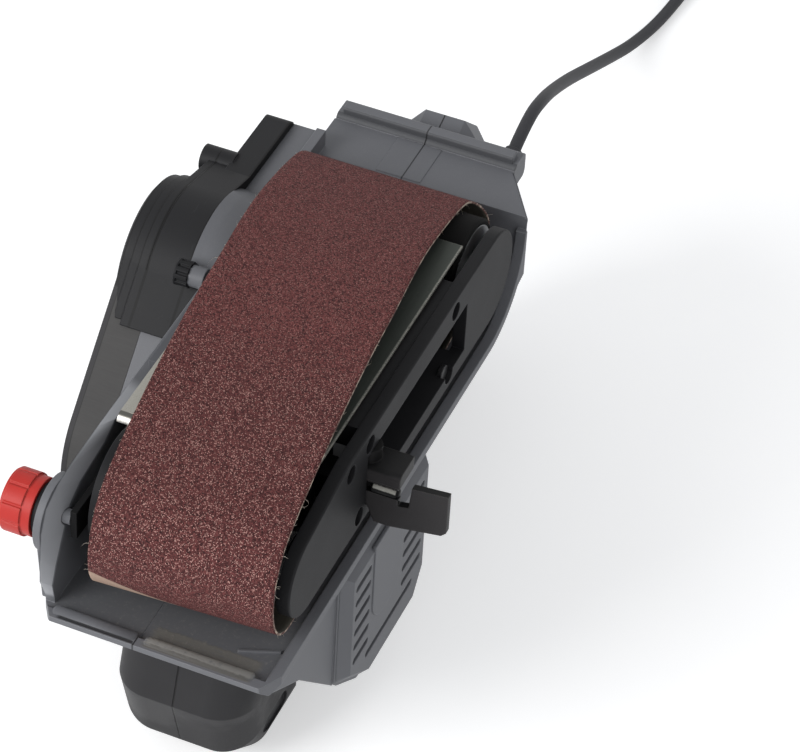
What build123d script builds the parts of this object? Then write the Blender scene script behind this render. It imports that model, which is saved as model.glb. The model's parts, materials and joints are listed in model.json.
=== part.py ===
from build123d import *
from math import asin, cos, hypot, pi, radians, sin, sqrt, tan
import os

# Corded belt sander lying on its back for a belt change: belt side up, tension lever swung open.
# Drawing datum, in millimetres: x forward from the platen's rear edge, y to the tool's right from
# the middle of the belt, z up from the platen's working face. Every piece is moved once, at the
# end, to an origin on the floor under the middle of the machine.

# Sanding belt, slack and pulled a little askew
belt_width = 75.0
belt_length = 533.0
belt_thick = 1.0
belt_bow = radians(19.3)
belt_skew = radians(3.65)
belt_gap = 0.4
belt_rear_room = 5.9
belt_front_room = 2.6

# Rollers and platen
roller_d = 48.0
roller_over = 2.0
front_roller_under = 3.0
roller_sink = 0.8
rear_axis_x = -12.0
tyre_thick = 2.5
drive_shaft_d = 12.0
front_axle_d = 10.0
tension_travel = 5.0
platen_over = 1.0
platen_left_over = 2.0
platen_thick = 1.2
platen_end_gap = 10.5
platen_bend_r = 3.0
cushion_thick = 2.0

# Housing
seam_y = -8.0
wall = 4.0
left_room = 7.0
right_room = 11.0
ceiling_room = 12.2
rim_height = 2.5
rim_width = 4.5
lip_room = 10.5
lip_corner = 9.5
wall_top_z = -9.5
block_top_z = -17.6
block_rear_x = -74.0
block_room = 10.5
block_rear_half = 41.0
block_bevel = 6.0
ridge_width = 13.0
ridge_height = 2.2

# Motor and drive
motor_x = 90.75
motor_z = -105.0
pod_length = 85.5
pod_height = 78.0
pod_cut_rear = 15.0
pod_cut_front = 24.0
pod_corner = 6.0
pod_inset = 3.5
cap_thick = 4.5
motor_bore = 72.0
counter_ahead = 31.6
counter_below = 13.4
drum_r = 37.0
cover_r = 34.0
arm_r = 36.5
arm_angle = radians(30.5)
case_depth = 17.5
cover_depth = 13.5
shell_wall = 2.5
tooth_pitch = 5.0
tooth_depth = 1.2
tooth_belt_thick = 1.3
motor_teeth = 9
counter_large_teeth = 32
counter_small_teeth = 10
roller_teeth = 14

# Handles
grip_width = 36.0
grip_depth = 34.0
grip_bevel = 9.0
handle_below = 24.0
leg_reach = 69.0
leg_drop = 84.0
front_handle_width = 60.0
front_handle_height = 64.0
front_handle_nose = 8.0
front_handle_round = 17.0

# Controls
knob_d = 25.5
knob_length = 13.0
knob_ahead = 22.0
knob_below = 1.6
knob_ribs = 10
lever_behind = 28.8
lever_length = 36.0
lever_height = 25.0
lever_thick = 3.0
lever_pin_d = 4.0
trigger_behind = 80.0
trigger_width = 18.0
trigger_travel = 5.0
lock_d = 10.0
lock_travel = 3.0

# Cord
cord_d = 6.0
cord_length = 2000.0
gland_length = 26.0
gland_d = 13.0
cord_bends = [
    (-201.0, 0.8, 90.5),
    (-226.0, -3.0, 77.0),
    (-262.0, -7.5, 57.0),
    (-300.0, -10.0, 36.5),
    (-336.0, -10.6, 19.0),
    (-364.0, -9.4, 7.5),
    (-392.0, -5.4, 3.4),
]
coil_behind = 455.0
coil_turns_a_layer = 4
coil_step = 6.7
tie_thick = 1.2
tie_width = 12.0
plug_length = 38.0
plug_width = 26.0
plug_pin_d = 4.8
plug_pin_length = 19.0
plug_pin_pitch = 19.0

# Clearances
fit = 0.05
slide = 0.3
seat = 0.1
press = 0.01

# Places worked out from the sizes above
roller_r = roller_d / 2
roller_z = -(roller_r + roller_sink)
loop_r = roller_r + belt_gap + belt_thick / 2
bow_ratio = belt_bow / sin(belt_bow)
loop_span = (belt_length - 2 * pi * loop_r) / (1 + bow_ratio)
loop_rear_x = rear_axis_x - belt_rear_room
loop_front_x = loop_rear_x + loop_span
loop_mid_x = (loop_rear_x + loop_front_x) / 2
front_axis_x = loop_front_x - belt_front_room - tension_travel
platen_front_x = front_axis_x - platen_end_gap

roller_width = belt_width + roller_over
front_roller_width = belt_width - front_roller_under
platen_width = roller_width + platen_over
wall_inner_y = -(roller_width / 2 + left_room)
wall_outer_y = wall_inner_y - wall
block_left_y = wall_outer_y - block_room
rim_y = roller_width / 2 + right_room
ceiling_z = roller_z - roller_r - belt_thick - ceiling_room
rim_z = ceiling_z + rim_height
tray_bottom_z = ceiling_z - wall
lip_x = loop_front_x + loop_r + belt_thick / 2 + lip_room
wrap_r = roller_z - ceiling_z
shell_r = wrap_r + wall
wrap_top_x = rear_axis_x - sqrt(wrap_r**2 - (block_top_z - roller_z) ** 2)

counter_x = rear_axis_x + counter_ahead
counter_z = roller_z - counter_below
case_right_y = block_left_y
case_left_y = case_right_y - case_depth
cover_left_y = case_left_y - cover_depth
pod_bottom_z = motor_z - pod_height / 2
pod_front_x = motor_x + pod_length / 2
pod_rear_x = motor_x - pod_length / 2
pod_left_y = block_left_y + 2
pod_right_y = rim_y - pod_inset
floor_z = pod_bottom_z - handle_below
motor_belt_r = motor_teeth * tooth_pitch / (2 * pi) + slide + tooth_belt_thick
arm_offset = arm_r - shell_wall - motor_belt_r - slide
arm_end = (motor_x - arm_offset * cos(arm_angle), motor_z + arm_offset * sin(arm_angle))
arm_right_y = case_left_y + 5
cap_right_y = pod_right_y + cap_thick

frame_inner_y = roller_width / 2 + 4.5
frame_outer_y = frame_inner_y + 5.5
knob_x = front_axis_x + knob_ahead
knob_z = roller_z - knob_below

lever_pin_x = front_axis_x - roller_r - lever_behind
lever_pin_y = frame_outer_y - 2.5
leg_back = (block_rear_x - leg_reach, block_top_z - leg_drop)
shift = Location(
    (
        -(lip_x + leg_back[0]) / 2,
        -(cover_left_y + lever_pin_y + lever_length) / 2,
        -floor_z,
    )
)

os.makedirs("parts", exist_ok=True)


def keep(piece, name):
    """Label a finished piece, stand it on the floor and write it out."""
    piece.label = name
    piece.move(shift)
    export_step(piece, f"parts/{name}.step")


def across(y_right):
    """Sketch plane with x forward and z up at y_right. Extrusions from it go to the left."""
    return Plane.XZ.offset(-y_right)


def disc(x, z, diameter, y_right, width, mode=Mode.ADD):
    """Round bar along y, from y_right to the left."""
    with BuildSketch(across(y_right)) as face:
        with Locations((x, z)):
            Circle(diameter / 2)
    extrude(face.sketch, amount=width, mode=mode)


def ring(x, z, outer_d, inner_d, y_right, width):
    """Tube along y, from y_right to the left."""
    with BuildSketch(across(y_right)) as face:
        with Locations((x, z)):
            Circle(outer_d / 2)
            Circle(inner_d / 2, mode=Mode.SUBTRACT)
    extrude(face.sketch, amount=width)


def block(x_rear, x_front, y_left, y_right, z_low, z_high, mode=Mode.ADD):
    """Plain block between six faces."""
    with BuildSketch(across(y_right)) as face:
        with Locations(((x_rear + x_front) / 2, (z_low + z_high) / 2)):
            Rectangle(x_front - x_rear, z_high - z_low)
    extrude(face.sketch, amount=y_right - y_left, mode=mode)


def hull_of(circles, y_right, width, mode=Mode.ADD):
    """Prism along y round a stretched loop about (x, z, radius) circles."""
    with BuildSketch(across(y_right)) as face:
        for x, z, radius in circles:
            with Locations((x, z)):
                Circle(radius)
        make_hull()
    extrude(face.sketch, amount=width, mode=mode)


# Sanding belt


def slack_loop(radius):
    """Two round ends joined by a straight lower run and a bowed upper one."""
    half_chord_x = radius * sin(belt_bow)
    rise = (loop_span / 2 + half_chord_x) * tan(belt_bow / 2)
    top = roller_z + radius * cos(belt_bow)
    bottom = roller_z - radius
    rear = loop_rear_x - half_chord_x
    front = loop_front_x + half_chord_x
    with BuildLine() as outline:
        ThreePointArc((rear, top), (loop_mid_x, top + rise), (front, top))
        ThreePointArc((front, top), (loop_front_x + radius, roller_z), (loop_front_x, bottom))
        Line((loop_front_x, bottom), (loop_rear_x, bottom))
        ThreePointArc((loop_rear_x, bottom), (loop_rear_x - radius, roller_z), (rear, top))
    return outline.edges()


skew_forward = Vector(cos(belt_skew), sin(belt_skew), 0)
skew_left = Vector(sin(belt_skew), -cos(belt_skew), 0)
skew_origin = Vector(loop_mid_x, 0, 0) - skew_forward * loop_mid_x - skew_left * (belt_width / 2)
with BuildPart() as sanding_belt:
    with BuildSketch(Plane(origin=skew_origin, x_dir=skew_forward, z_dir=skew_left)):
        make_face(slack_loop(loop_r + belt_thick / 2))
        make_face(slack_loop(loop_r - belt_thick / 2), mode=Mode.SUBTRACT)
    extrude(amount=belt_width)
keep(sanding_belt.part, "sanding_belt")

# Drive roller with its rubber tyre

roller_bearing_d = 24.0
roller_bearing_width = 8.0
drive_shaft_right = frame_outer_y - 0.5
drive_shaft_left = case_left_y + 1.0
with BuildPart() as drive_roller:
    disc(rear_axis_x, roller_z, roller_d - 2 * tyre_thick, roller_width / 2, roller_width)
    disc(rear_axis_x, roller_z, drive_shaft_d, drive_shaft_right, drive_shaft_right - drive_shaft_left)
keep(drive_roller.part, "drive_roller")

with BuildPart() as roller_tyre:
    ring(rear_axis_x, roller_z, roller_d, roller_d - 2 * tyre_thick, roller_width / 2, roller_width)
    chamfer(roller_tyre.edges().filter_by(GeomType.CIRCLE).sort_by(SortBy.RADIUS)[-2:], 1.0)
keep(roller_tyre.part, "roller_tyre")

frame_disc_r = roller_r - 1.7
frame_bearing_d = 24.0
frame_bearing_width = 4.6
with BuildPart() as drive_roller_bearings:
    ring(
        rear_axis_x,
        roller_z,
        frame_bearing_d,
        drive_shaft_d + 2 * fit,
        frame_outer_y - 0.4,
        frame_bearing_width,
    )
    ring(
        rear_axis_x,
        roller_z,
        roller_bearing_d,
        drive_shaft_d + 2 * fit,
        block_left_y + 1 + roller_bearing_width,
        roller_bearing_width,
    )
keep(drive_roller_bearings.part, "drive_roller_bearings")

# Roller frame: a block between the two runs of the belt with a side plate on its right

frame_rear_x = rear_axis_x + roller_r + 7
frame_front_x = front_axis_x - roller_r - 23.3
frame_top_z = -(platen_thick + cushion_thick)
frame_bottom_z = roller_z - roller_r + 4.5
tip_r = 18.0
tip_x = front_axis_x + tension_travel + 3.7
tip_z = roller_z - 3.0
slot_rear_x = frame_rear_x - 3
slot_front_x = lever_pin_x + 8
slot_top_z = roller_z + 10.5
slot_bottom_z = roller_z - 14.5
pin_hold = 4.0
channel_half = 14.0
channel_height = 18.0
channel_rear_x = frame_rear_x + 20
frame_screw_d = 8.0
frame_screw_spots = [
    (frame_rear_x + 10, -8.5),
    (frame_rear_x + 13, frame_bottom_z + 4.2),
    (frame_front_x + 0.5, -9.0),
    (frame_front_x + 18.5, -9.5),
    (frame_front_x + 8.5, frame_bottom_z + 4.2),
]
with BuildPart() as roller_frame:
    block(frame_rear_x, frame_front_x, wall_inner_y, frame_inner_y, frame_bottom_z, frame_top_z)
    plate_top_r = 2.0
    hull_of(
        [
            (rear_axis_x, roller_z, frame_disc_r),
            (tip_x, tip_z, tip_r),
            (frame_front_x + 22, -roller_sink - 2.0 - plate_top_r, plate_top_r),
            (frame_rear_x, -roller_sink - 1.2 - plate_top_r, plate_top_r),
        ],
        frame_outer_y,
        frame_outer_y - frame_inner_y,
    )
    block(
        channel_rear_x,
        frame_front_x,
        -channel_half,
        channel_half,
        roller_z - channel_height / 2,
        roller_z + channel_height / 2,
        mode=Mode.SUBTRACT,
    )
    block(
        slot_rear_x,
        slot_front_x,
        frame_inner_y - 10,
        frame_outer_y,
        slot_bottom_z,
        slot_top_z,
        mode=Mode.SUBTRACT,
    )
    disc(rear_axis_x, roller_z, frame_bearing_d + 2 * seat, frame_outer_y - 0.4, 20, mode=Mode.SUBTRACT)
    for hole_x, hole_z in frame_screw_spots:
        disc(hole_x, hole_z, frame_screw_d, frame_outer_y, 4.0, mode=Mode.SUBTRACT)
    with BuildSketch(Plane.XY.offset(slot_bottom_z - pin_hold)):
        with Locations((lever_pin_x, lever_pin_y)):
            Circle(lever_pin_d / 2 + press)
    extrude(amount=slot_top_z - slot_bottom_z + 2 * pin_hold, mode=Mode.SUBTRACT)
    fillet(roller_frame.faces().sort_by(Axis.Y)[-1].outer_wire().edges(), 0.8)
keep(roller_frame.part, "roller_frame")

with BuildPart() as frame_screws:
    for hole_x, hole_z in frame_screw_spots:
        disc(hole_x, hole_z, frame_screw_d - 1.0, frame_outer_y - 2.0, 2.0)
keep(frame_screws.part, "frame_screws")

# Platen: steel sheet with its front edge bent down, on a cushion

with BuildPart() as platen:
    with BuildSketch(across(platen_width / 2)):
        with BuildLine():
            bend_x = platen_front_x - platen_bend_r
            inner_r = platen_bend_r - platen_thick
            Polyline((bend_x, 0), (0, 0), (0, -platen_thick), (bend_x, -platen_thick))
            RadiusArc((bend_x, 0), (platen_front_x, -platen_bend_r), platen_bend_r)
            Line((platen_front_x, -platen_bend_r), (platen_front_x - platen_thick, -platen_bend_r))
            RadiusArc((bend_x, -platen_thick), (bend_x + inner_r, -platen_bend_r), inner_r)
        make_face()
    extrude(amount=platen_width + platen_left_over)
keep(platen.part, "platen")

with BuildPart() as platen_cushion:
    block(
        frame_rear_x,
        frame_front_x,
        -platen_width / 2 + 1,
        platen_width / 2 - 1,
        frame_top_z,
        frame_top_z + cushion_thick,
    )
keep(platen_cushion.part, "platen_cushion")

# Tension carriage, spring, yoke and front roller

spring_room = 22.0
carriage_rear_x = channel_rear_x + spring_room
carriage_front_x = frame_front_x + 2
tongue_thick = 5.0
yoke_pin_x = carriage_front_x + 7
yoke_pin_d = 6.0
with BuildPart() as tension_carriage:
    block(
        carriage_rear_x,
        carriage_front_x,
        -channel_half + slide,
        channel_half - slide,
        roller_z - channel_height / 2 + slide,
        roller_z + channel_height / 2 - slide,
    )
    block(
        carriage_front_x,
        yoke_pin_x + 5,
        -8,
        8,
        roller_z - tongue_thick / 2,
        roller_z + tongue_thick / 2,
    )
    with BuildSketch(Plane.XY.offset(roller_z - tongue_thick)):
        with Locations((yoke_pin_x, 0)):
            Circle(yoke_pin_d / 2 + fit)
    extrude(amount=2 * tongue_thick, mode=Mode.SUBTRACT)
keep(tension_carriage.part, "tension_carriage")

arm_thick = 2.6
arm_outer_y = frame_inner_y - 1.2
yoke_rear_x = carriage_front_x + 0.8
yoke_bar = 11.5
yoke_front_x = yoke_rear_x + yoke_bar
yoke_height = 13.0
arm_tip_x = knob_x + 5
with BuildPart() as roller_yoke:
    block(
        yoke_rear_x,
        yoke_front_x,
        -arm_outer_y,
        arm_outer_y,
        roller_z - yoke_height / 2,
        roller_z + yoke_height / 2,
    )
    for side in (-1, 1):
        inner = arm_outer_y - arm_thick
        right = arm_outer_y if side > 0 else -inner
        front = front_axis_x + 8 if side > 0 else arm_tip_x
        block(
            yoke_front_x,
            front,
            right - arm_thick,
            right,
            roller_z - yoke_height / 2,
            roller_z + yoke_height / 2,
        )
        disc(front_axis_x, roller_z, front_axle_d + 2 * press, right, arm_thick, mode=Mode.SUBTRACT)
    block(
        yoke_rear_x,
        yoke_pin_x + 5 + slide,
        -9,
        9,
        roller_z - tongue_thick / 2 - slide,
        roller_z + tongue_thick / 2 + slide,
        mode=Mode.SUBTRACT,
    )
    with BuildSketch(Plane.XY.offset(roller_z - yoke_height)):
        with Locations((yoke_pin_x, 0)):
            Circle(yoke_pin_d / 2 + press)
    extrude(amount=2 * yoke_height, mode=Mode.SUBTRACT)
keep(roller_yoke.part, "roller_yoke")

with BuildPart() as yoke_pin:
    with BuildSketch(Plane.XY.offset(roller_z - yoke_height / 2)):
        with Locations((yoke_pin_x, 0)):
            Circle(yoke_pin_d / 2)
    extrude(amount=yoke_height)
keep(yoke_pin.part, "yoke_pin")

with BuildPart() as front_axle:
    disc(front_axis_x, roller_z, front_axle_d, arm_outer_y, 2 * arm_outer_y)
keep(front_axle.part, "front_axle")

bush_d = 16.0
bush_width = 12.0
dish_depth = 2.0
with BuildPart() as front_roller:
    ring(front_axis_x, roller_z, roller_d, front_axle_d + 4, front_roller_width / 2, front_roller_width)
    for side in (front_roller_width / 2, -front_roller_width / 2 + bush_width):
        dish_right = side if side > 0 else side - bush_width + dish_depth
        disc(front_axis_x, roller_z, bush_d, side, bush_width, mode=Mode.SUBTRACT)
        disc(front_axis_x, roller_z, roller_d - 10, dish_right, dish_depth, mode=Mode.SUBTRACT)
keep(front_roller.part, "front_roller")

with BuildPart() as front_bushes:
    for side in (front_roller_width / 2 - dish_depth, -front_roller_width / 2 + bush_width):
        ring(front_axis_x, roller_z, bush_d, front_axle_d + 2 * fit, side, bush_width - dish_depth)
keep(front_bushes.part, "front_bushes")

spring_d = 14.0
spring_wire = 2.0
spring_turns = 5
spring_left_x = channel_rear_x + spring_wire / 2 + 0.1
spring_length = carriage_rear_x - channel_rear_x - spring_wire - 0.2


def half_turn(start, side, climb, axis):
    """Half circle from start to the far side, rising by climb along axis, level at both ends."""
    chord = side + axis * climb
    reach = side.cross(axis).normalized() * (chord.length / 2)
    return ThreePointArc(start, start + chord * 0.5 + reach, start + chord)


with BuildPart() as tension_spring:
    with BuildLine() as spring_path:
        spot = Vector(spring_left_x, 0, roller_z - (spring_d - spring_wire) / 2)
        side = Vector(0, 0, spring_d - spring_wire)
        for step in range(2 * spring_turns):
            half_turn(spot, side, spring_length / (2 * spring_turns), Vector(1, 0, 0))
            spot = spot + side + Vector(spring_length / (2 * spring_turns), 0, 0)
            side = side * -1
    with BuildSketch(Plane(origin=spring_path.line @ 0, z_dir=spring_path.line % 0)):
        Circle(spring_wire / 2)
    sweep()
keep(tension_spring.part, "tension_spring")

# Tension lever swung out to the right, and its pin

lever_top_z = slot_top_z - slide
lever_low_z = slot_bottom_z + slide
lever_hub_r = 5.0
hood_width = 16.0
hood_depth = 14.0
hood_wall = 2.5
hood_height = 6.0
bar_r = 1.3
notch_width = 4.5
tab_front_x = lever_pin_x + 7.5
tab_rear_x = tab_front_x - lever_thick
tab_root_y = lever_pin_y + 6.0
tab_tip_y = lever_pin_y + lever_length
tab_top_z = roller_z + 2.8
tab_low_z = tab_top_z - lever_height
hood_right_y = lever_pin_y + hood_width
hood_top_z = lever_top_z - 5.5
notch_right_y = hood_right_y + 4.0
hood_low_z = hood_top_z - hood_height
notch_low_z = tab_top_z - 13.0
bar_z = hood_low_z - bar_r + 0.4
with BuildPart() as lever_pin:
    with BuildSketch(Plane.XY.offset(slot_bottom_z - pin_hold)):
        with Locations((lever_pin_x, lever_pin_y)):
            Circle(lever_pin_d / 2)
    extrude(amount=slot_top_z - slot_bottom_z + 2 * pin_hold)
keep(lever_pin.part, "lever_pin")

with BuildPart() as tension_lever:
    with BuildSketch(Plane.XY.offset(lever_low_z)):
        with Locations((lever_pin_x, lever_pin_y)):
            Circle(lever_hub_r)
    extrude(amount=lever_top_z - lever_low_z)
    block(
        tab_front_x - hood_depth,
        tab_front_x,
        lever_pin_y,
        hood_right_y,
        hood_low_z,
        hood_top_z,
    )
    hood_edges = tension_lever.faces().sort_by(Axis.X)[-1].edges()
    fillet(hood_edges.filter_by(Axis.Y).sort_by(Axis.Z)[-1], hood_wall)
    block(
        tab_front_x - hood_depth,
        tab_front_x - hood_wall,
        lever_pin_y + lever_hub_r + slide,
        hood_right_y - hood_wall,
        hood_low_z,
        hood_top_z - hood_wall,
        mode=Mode.SUBTRACT,
    )
    with BuildSketch(Plane.YZ.offset(tab_rear_x)):
        with BuildLine():
            Polyline(
                (lever_pin_y, notch_low_z + 3),
                (notch_right_y - notch_width, notch_low_z + 3),
                (notch_right_y - notch_width, notch_low_z),
                (notch_right_y, notch_low_z + 1),
                (notch_right_y + 1, tab_top_z - 1.5),
                (tab_tip_y, tab_top_z),
                (tab_tip_y, tab_low_z + 6),
                (tab_tip_y - 2, tab_low_z + 4),
                (tab_root_y + 6, tab_low_z),
                (tab_root_y, tab_low_z),
                (lever_pin_y, lever_low_z + 6),
                close=True,
            )
        make_face()
    extrude(amount=lever_thick)
    with BuildSketch(across(hood_right_y - 1)):
        with Locations((tab_front_x - bar_r - 0.7, bar_z)):
            Circle(bar_r)
    extrude(amount=hood_width - 2)
    with BuildSketch(Plane.XY.offset(lever_low_z)):
        with Locations((lever_pin_x, lever_pin_y)):
            Circle(lever_pin_d / 2 + fit)
    extrude(amount=lever_top_z - lever_low_z, mode=Mode.SUBTRACT)
keep(tension_lever.part, "tension_lever")

# Tracking knob, its collar and its screw

boss_d = 31.0
boss_height = 3.0
boss_left_y = wall_outer_y - boss_height
collar_thick = 3.2
screw_d = 6.0
knob_right_y = boss_left_y - collar_thick - slide
with BuildPart() as knob_collar:
    ring(knob_x, knob_z, knob_d - 4, screw_d + 4 * fit, boss_left_y, collar_thick)
keep(knob_collar.part, "knob_collar")

with BuildPart() as tracking_knob:
    disc(knob_x, knob_z, knob_d - 1.6, knob_right_y, knob_length)
    disc(knob_x, knob_z, knob_d, knob_right_y - 4, knob_length - 5)
    with BuildSketch(across(knob_right_y - 4)):
        with Locations((knob_x, knob_z)):
            with PolarLocations(knob_d / 2, knob_ribs):
                Circle(0.7)
    extrude(amount=knob_length - 5, mode=Mode.SUBTRACT)
    disc(knob_x, knob_z, screw_d, knob_right_y, knob_length - 4, mode=Mode.SUBTRACT)
keep(tracking_knob.part, "tracking_knob")

screw_right_y = -arm_outer_y - 1.5
with BuildPart() as tracking_screw:
    disc(knob_x, knob_z, screw_d, screw_right_y, screw_right_y - knob_right_y + knob_length - 4)
keep(tracking_screw.part, "tracking_screw")

# Toothed wheels and belts of the drive


def wheel_r(teeth):
    """Tip radius of a toothed wheel."""
    return teeth * tooth_pitch / (2 * pi)


def toothed_wheel(x, z, teeth, bore, y_right, width):
    """Wheel with straight grooves, from y_right to the left."""
    with BuildSketch(across(y_right)) as face:
        with Locations((x, z)):
            Circle(wheel_r(teeth))
            with PolarLocations(wheel_r(teeth), teeth):
                Rectangle(2 * tooth_depth, tooth_pitch * 0.45, mode=Mode.SUBTRACT)
            Circle(bore / 2, mode=Mode.SUBTRACT)
    extrude(face.sketch, amount=width)


def toothed_belt(wheel_a, wheel_b, y_right, width):
    """Belt round two wheels, with its teeth on the two straight runs."""
    ax, az, a_teeth = wheel_a
    bx, bz, b_teeth = wheel_b
    inner_a = wheel_r(a_teeth) + slide
    inner_b = wheel_r(b_teeth) + slide
    hull_of([(ax, az, inner_a + tooth_belt_thick), (bx, bz, inner_b + tooth_belt_thick)], y_right, width)
    hull_of([(ax, az, inner_a), (bx, bz, inner_b)], y_right, width, mode=Mode.SUBTRACT)
    span = hypot(bx - ax, bz - az)
    forward = Vector((bx - ax) / span, 0, (bz - az) / span)
    lean = asin((inner_a - inner_b) / span)
    run = span * cos(lean)
    count = int((run - 2 * tooth_pitch) / tooth_pitch)
    for side in (1, -1):
        normal = Vector(-forward.Z * side, 0, forward.X * side) * cos(lean) + forward * sin(lean)
        along = Vector(normal.Z * side, 0, -normal.X * side)
        start = Vector(ax, y_right, az) + normal * inner_a + along * (tooth_pitch / 2)
        for number in range(1, count + 1):
            root = start + along * (number * tooth_pitch)
            with BuildSketch(Plane(origin=root, x_dir=along, z_dir=(0, -1, 0))) as tooth:
                Rectangle(tooth_pitch * 0.4, 2 * tooth_depth * 0.7)
            extrude(tooth.sketch, amount=width)


large_right_y = case_left_y - 2.5
large_width = cover_depth - 5.5
small_right_y = case_right_y - 4.5
small_width = case_depth - 7
with BuildPart() as motor_pulley:
    toothed_wheel(motor_x, motor_z, motor_teeth, 8, large_right_y, large_width)
keep(motor_pulley.part, "motor_pulley")

with BuildPart() as counter_pulleys:
    toothed_wheel(counter_x, counter_z, counter_large_teeth, 8, large_right_y, large_width)
    toothed_wheel(counter_x, counter_z, counter_small_teeth, 8, small_right_y, small_width)
    ring(
        counter_x,
        counter_z,
        12,
        8,
        small_right_y - small_width,
        small_right_y - small_width - large_right_y,
    )
keep(counter_pulleys.part, "counter_pulleys")

with BuildPart() as roller_pulley:
    toothed_wheel(rear_axis_x, roller_z, roller_teeth, drive_shaft_d, small_right_y, small_width)
keep(roller_pulley.part, "roller_pulley")

counter_shaft_d = 8.0
counter_bearing_d = 22.0
counter_bearing_width = 7.0
counter_shaft_right = block_left_y + counter_bearing_width + 1
with BuildPart() as counter_shaft:
    disc(
        counter_x,
        counter_z,
        counter_shaft_d,
        counter_shaft_right,
        counter_shaft_right - cover_left_y - 1.0,
    )
keep(counter_shaft.part, "counter_shaft")

with BuildPart() as counter_bearing:
    ring(
        counter_x,
        counter_z,
        counter_bearing_d,
        counter_shaft_d + 2 * fit,
        block_left_y + counter_bearing_width,
        counter_bearing_width,
    )
keep(counter_bearing.part, "counter_bearing")

with BuildPart() as front_drive_belt:
    toothed_belt(
        (counter_x, counter_z, counter_large_teeth),
        (motor_x, motor_z, motor_teeth),
        large_right_y - 0.5,
        large_width - 1,
    )
keep(front_drive_belt.part, "front_drive_belt")

with BuildPart() as rear_drive_belt:
    toothed_belt(
        (rear_axis_x, roller_z, roller_teeth),
        (counter_x, counter_z, counter_small_teeth),
        small_right_y - 0.5,
        small_width - 1,
    )
keep(rear_drive_belt.part, "rear_drive_belt")

# Drive case and its outer cover

case_top_z = -7.5
case_rear_x = block_rear_x + 19
case_band = 11.5
roller_end_r = wheel_r(roller_teeth) + tooth_belt_thick + slide + 1.2 + shell_wall
lug_x = rear_axis_x - 7
lug_z = roller_z + 12.8
lug_d = 12.0
lug_depth = 7.2
drum = (counter_x, counter_z)
with BuildPart() as drive_case:
    with BuildSketch(across(case_right_y)):
        with BuildLine():
            Polyline(
                (counter_x, case_top_z),
                (case_rear_x, case_top_z),
                (case_rear_x, counter_z),
                (counter_x - 12, counter_z - drum_r + 4),
                (counter_x, counter_z - drum_r + 4),
                close=True,
            )
        make_face()
        fillet(vertices().group_by(Axis.X)[0], 5)
        with Locations(drum):
            Circle(drum_r)
    extrude(amount=case_band)
    hull_of([(*drum, drum_r), (rear_axis_x, roller_z, roller_end_r)], case_right_y, case_depth)
    disc(lug_x, lug_z, lug_d, case_left_y + lug_depth, lug_depth)
    hull_of(
        [(*drum, drum_r - shell_wall), (rear_axis_x, roller_z, roller_end_r - shell_wall)],
        case_right_y - shell_wall,
        case_depth,
        mode=Mode.SUBTRACT,
    )
    disc(rear_axis_x, roller_z, drive_shaft_d + 2, case_right_y, shell_wall, mode=Mode.SUBTRACT)
    disc(*drum, counter_shaft_d + 4, case_right_y, shell_wall, mode=Mode.SUBTRACT)
keep(drive_case.part, "drive_case")

cover_steps = 3
step_drop = (drum_r - cover_r) / cover_steps
step_width = (cover_depth - 1.5) / cover_steps
arm_depth = cover_depth - 1.5
arm_skirt = arm_right_y - case_left_y
with BuildPart() as drive_cover:
    hull_of([(*drum, cover_r), (*arm_end, arm_r)], arm_right_y, arm_skirt)
    hull_of(
        [(*drum, drum_r + seat), (rear_axis_x, roller_z, drum_r)],
        arm_right_y,
        arm_skirt,
        mode=Mode.SUBTRACT,
    )
    hull_of([(*drum, drum_r), (rear_axis_x, roller_z, roller_end_r)], case_left_y, 3)
    for step in range(cover_steps):
        disc(*drum, 2 * (drum_r - step * step_drop), case_left_y, step_width * (step + 1))
    hull_of([(*drum, cover_r), (*arm_end, arm_r)], case_left_y, arm_depth)
    disc(*drum, 2 * cover_r, case_left_y, cover_depth)
    chamfer(drive_cover.faces().sort_by(Axis.Y)[0].edges(), 1.2)
    disc(lug_x, lug_z, lug_d, case_left_y, lug_depth)
    hull_of(
        [(*drum, cover_r - shell_wall), (*arm_end, arm_r - shell_wall)],
        arm_right_y,
        arm_skirt + cover_depth - 3.0,
        mode=Mode.SUBTRACT,
    )
    disc(*drum, counter_shaft_d + 2 * fit, case_left_y, cover_depth - 1.0, mode=Mode.SUBTRACT)
keep(drive_cover.part, "drive_cover")

# Motor: shaft, armature, fan, field and brushes along y

shaft_d = 10.0
bearing_end_d = 7.0
pulley_end_d = 8.0
right_bearing_d = 19.0
right_bearing_width = 6.0
left_bearing_d = 22.0
left_bearing_width = 7.0
core_right_y = 16.0
core_length = 38.0
core_d = 42.0
air_gap = 0.6
core_slots = 12
shaft_right_y = pod_right_y - 1.2
left_bearing_right = pod_left_y + left_bearing_width + 1
with BuildPart() as motor_shaft:
    disc(motor_x, motor_z, bearing_end_d, shaft_right_y, right_bearing_width + 1)
    disc(
        motor_x,
        motor_z,
        shaft_d,
        shaft_right_y - right_bearing_width - 1,
        shaft_right_y - right_bearing_width - 1 - left_bearing_right - 0.5,
    )
    disc(
        motor_x,
        motor_z,
        pulley_end_d,
        left_bearing_right + 0.5,
        left_bearing_right + 0.5 - large_right_y + large_width,
    )
keep(motor_shaft.part, "motor_shaft")

with BuildPart() as armature_core:
    with BuildSketch(across(core_right_y)):
        with Locations((motor_x, motor_z)):
            Circle(core_d / 2)
            with PolarLocations(core_d / 2 - 4, core_slots):
                Rectangle(9, 3, mode=Mode.SUBTRACT)
            Circle(shaft_d / 2, mode=Mode.SUBTRACT)
    extrude(amount=core_length)
keep(armature_core.part, "armature_core")

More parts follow.
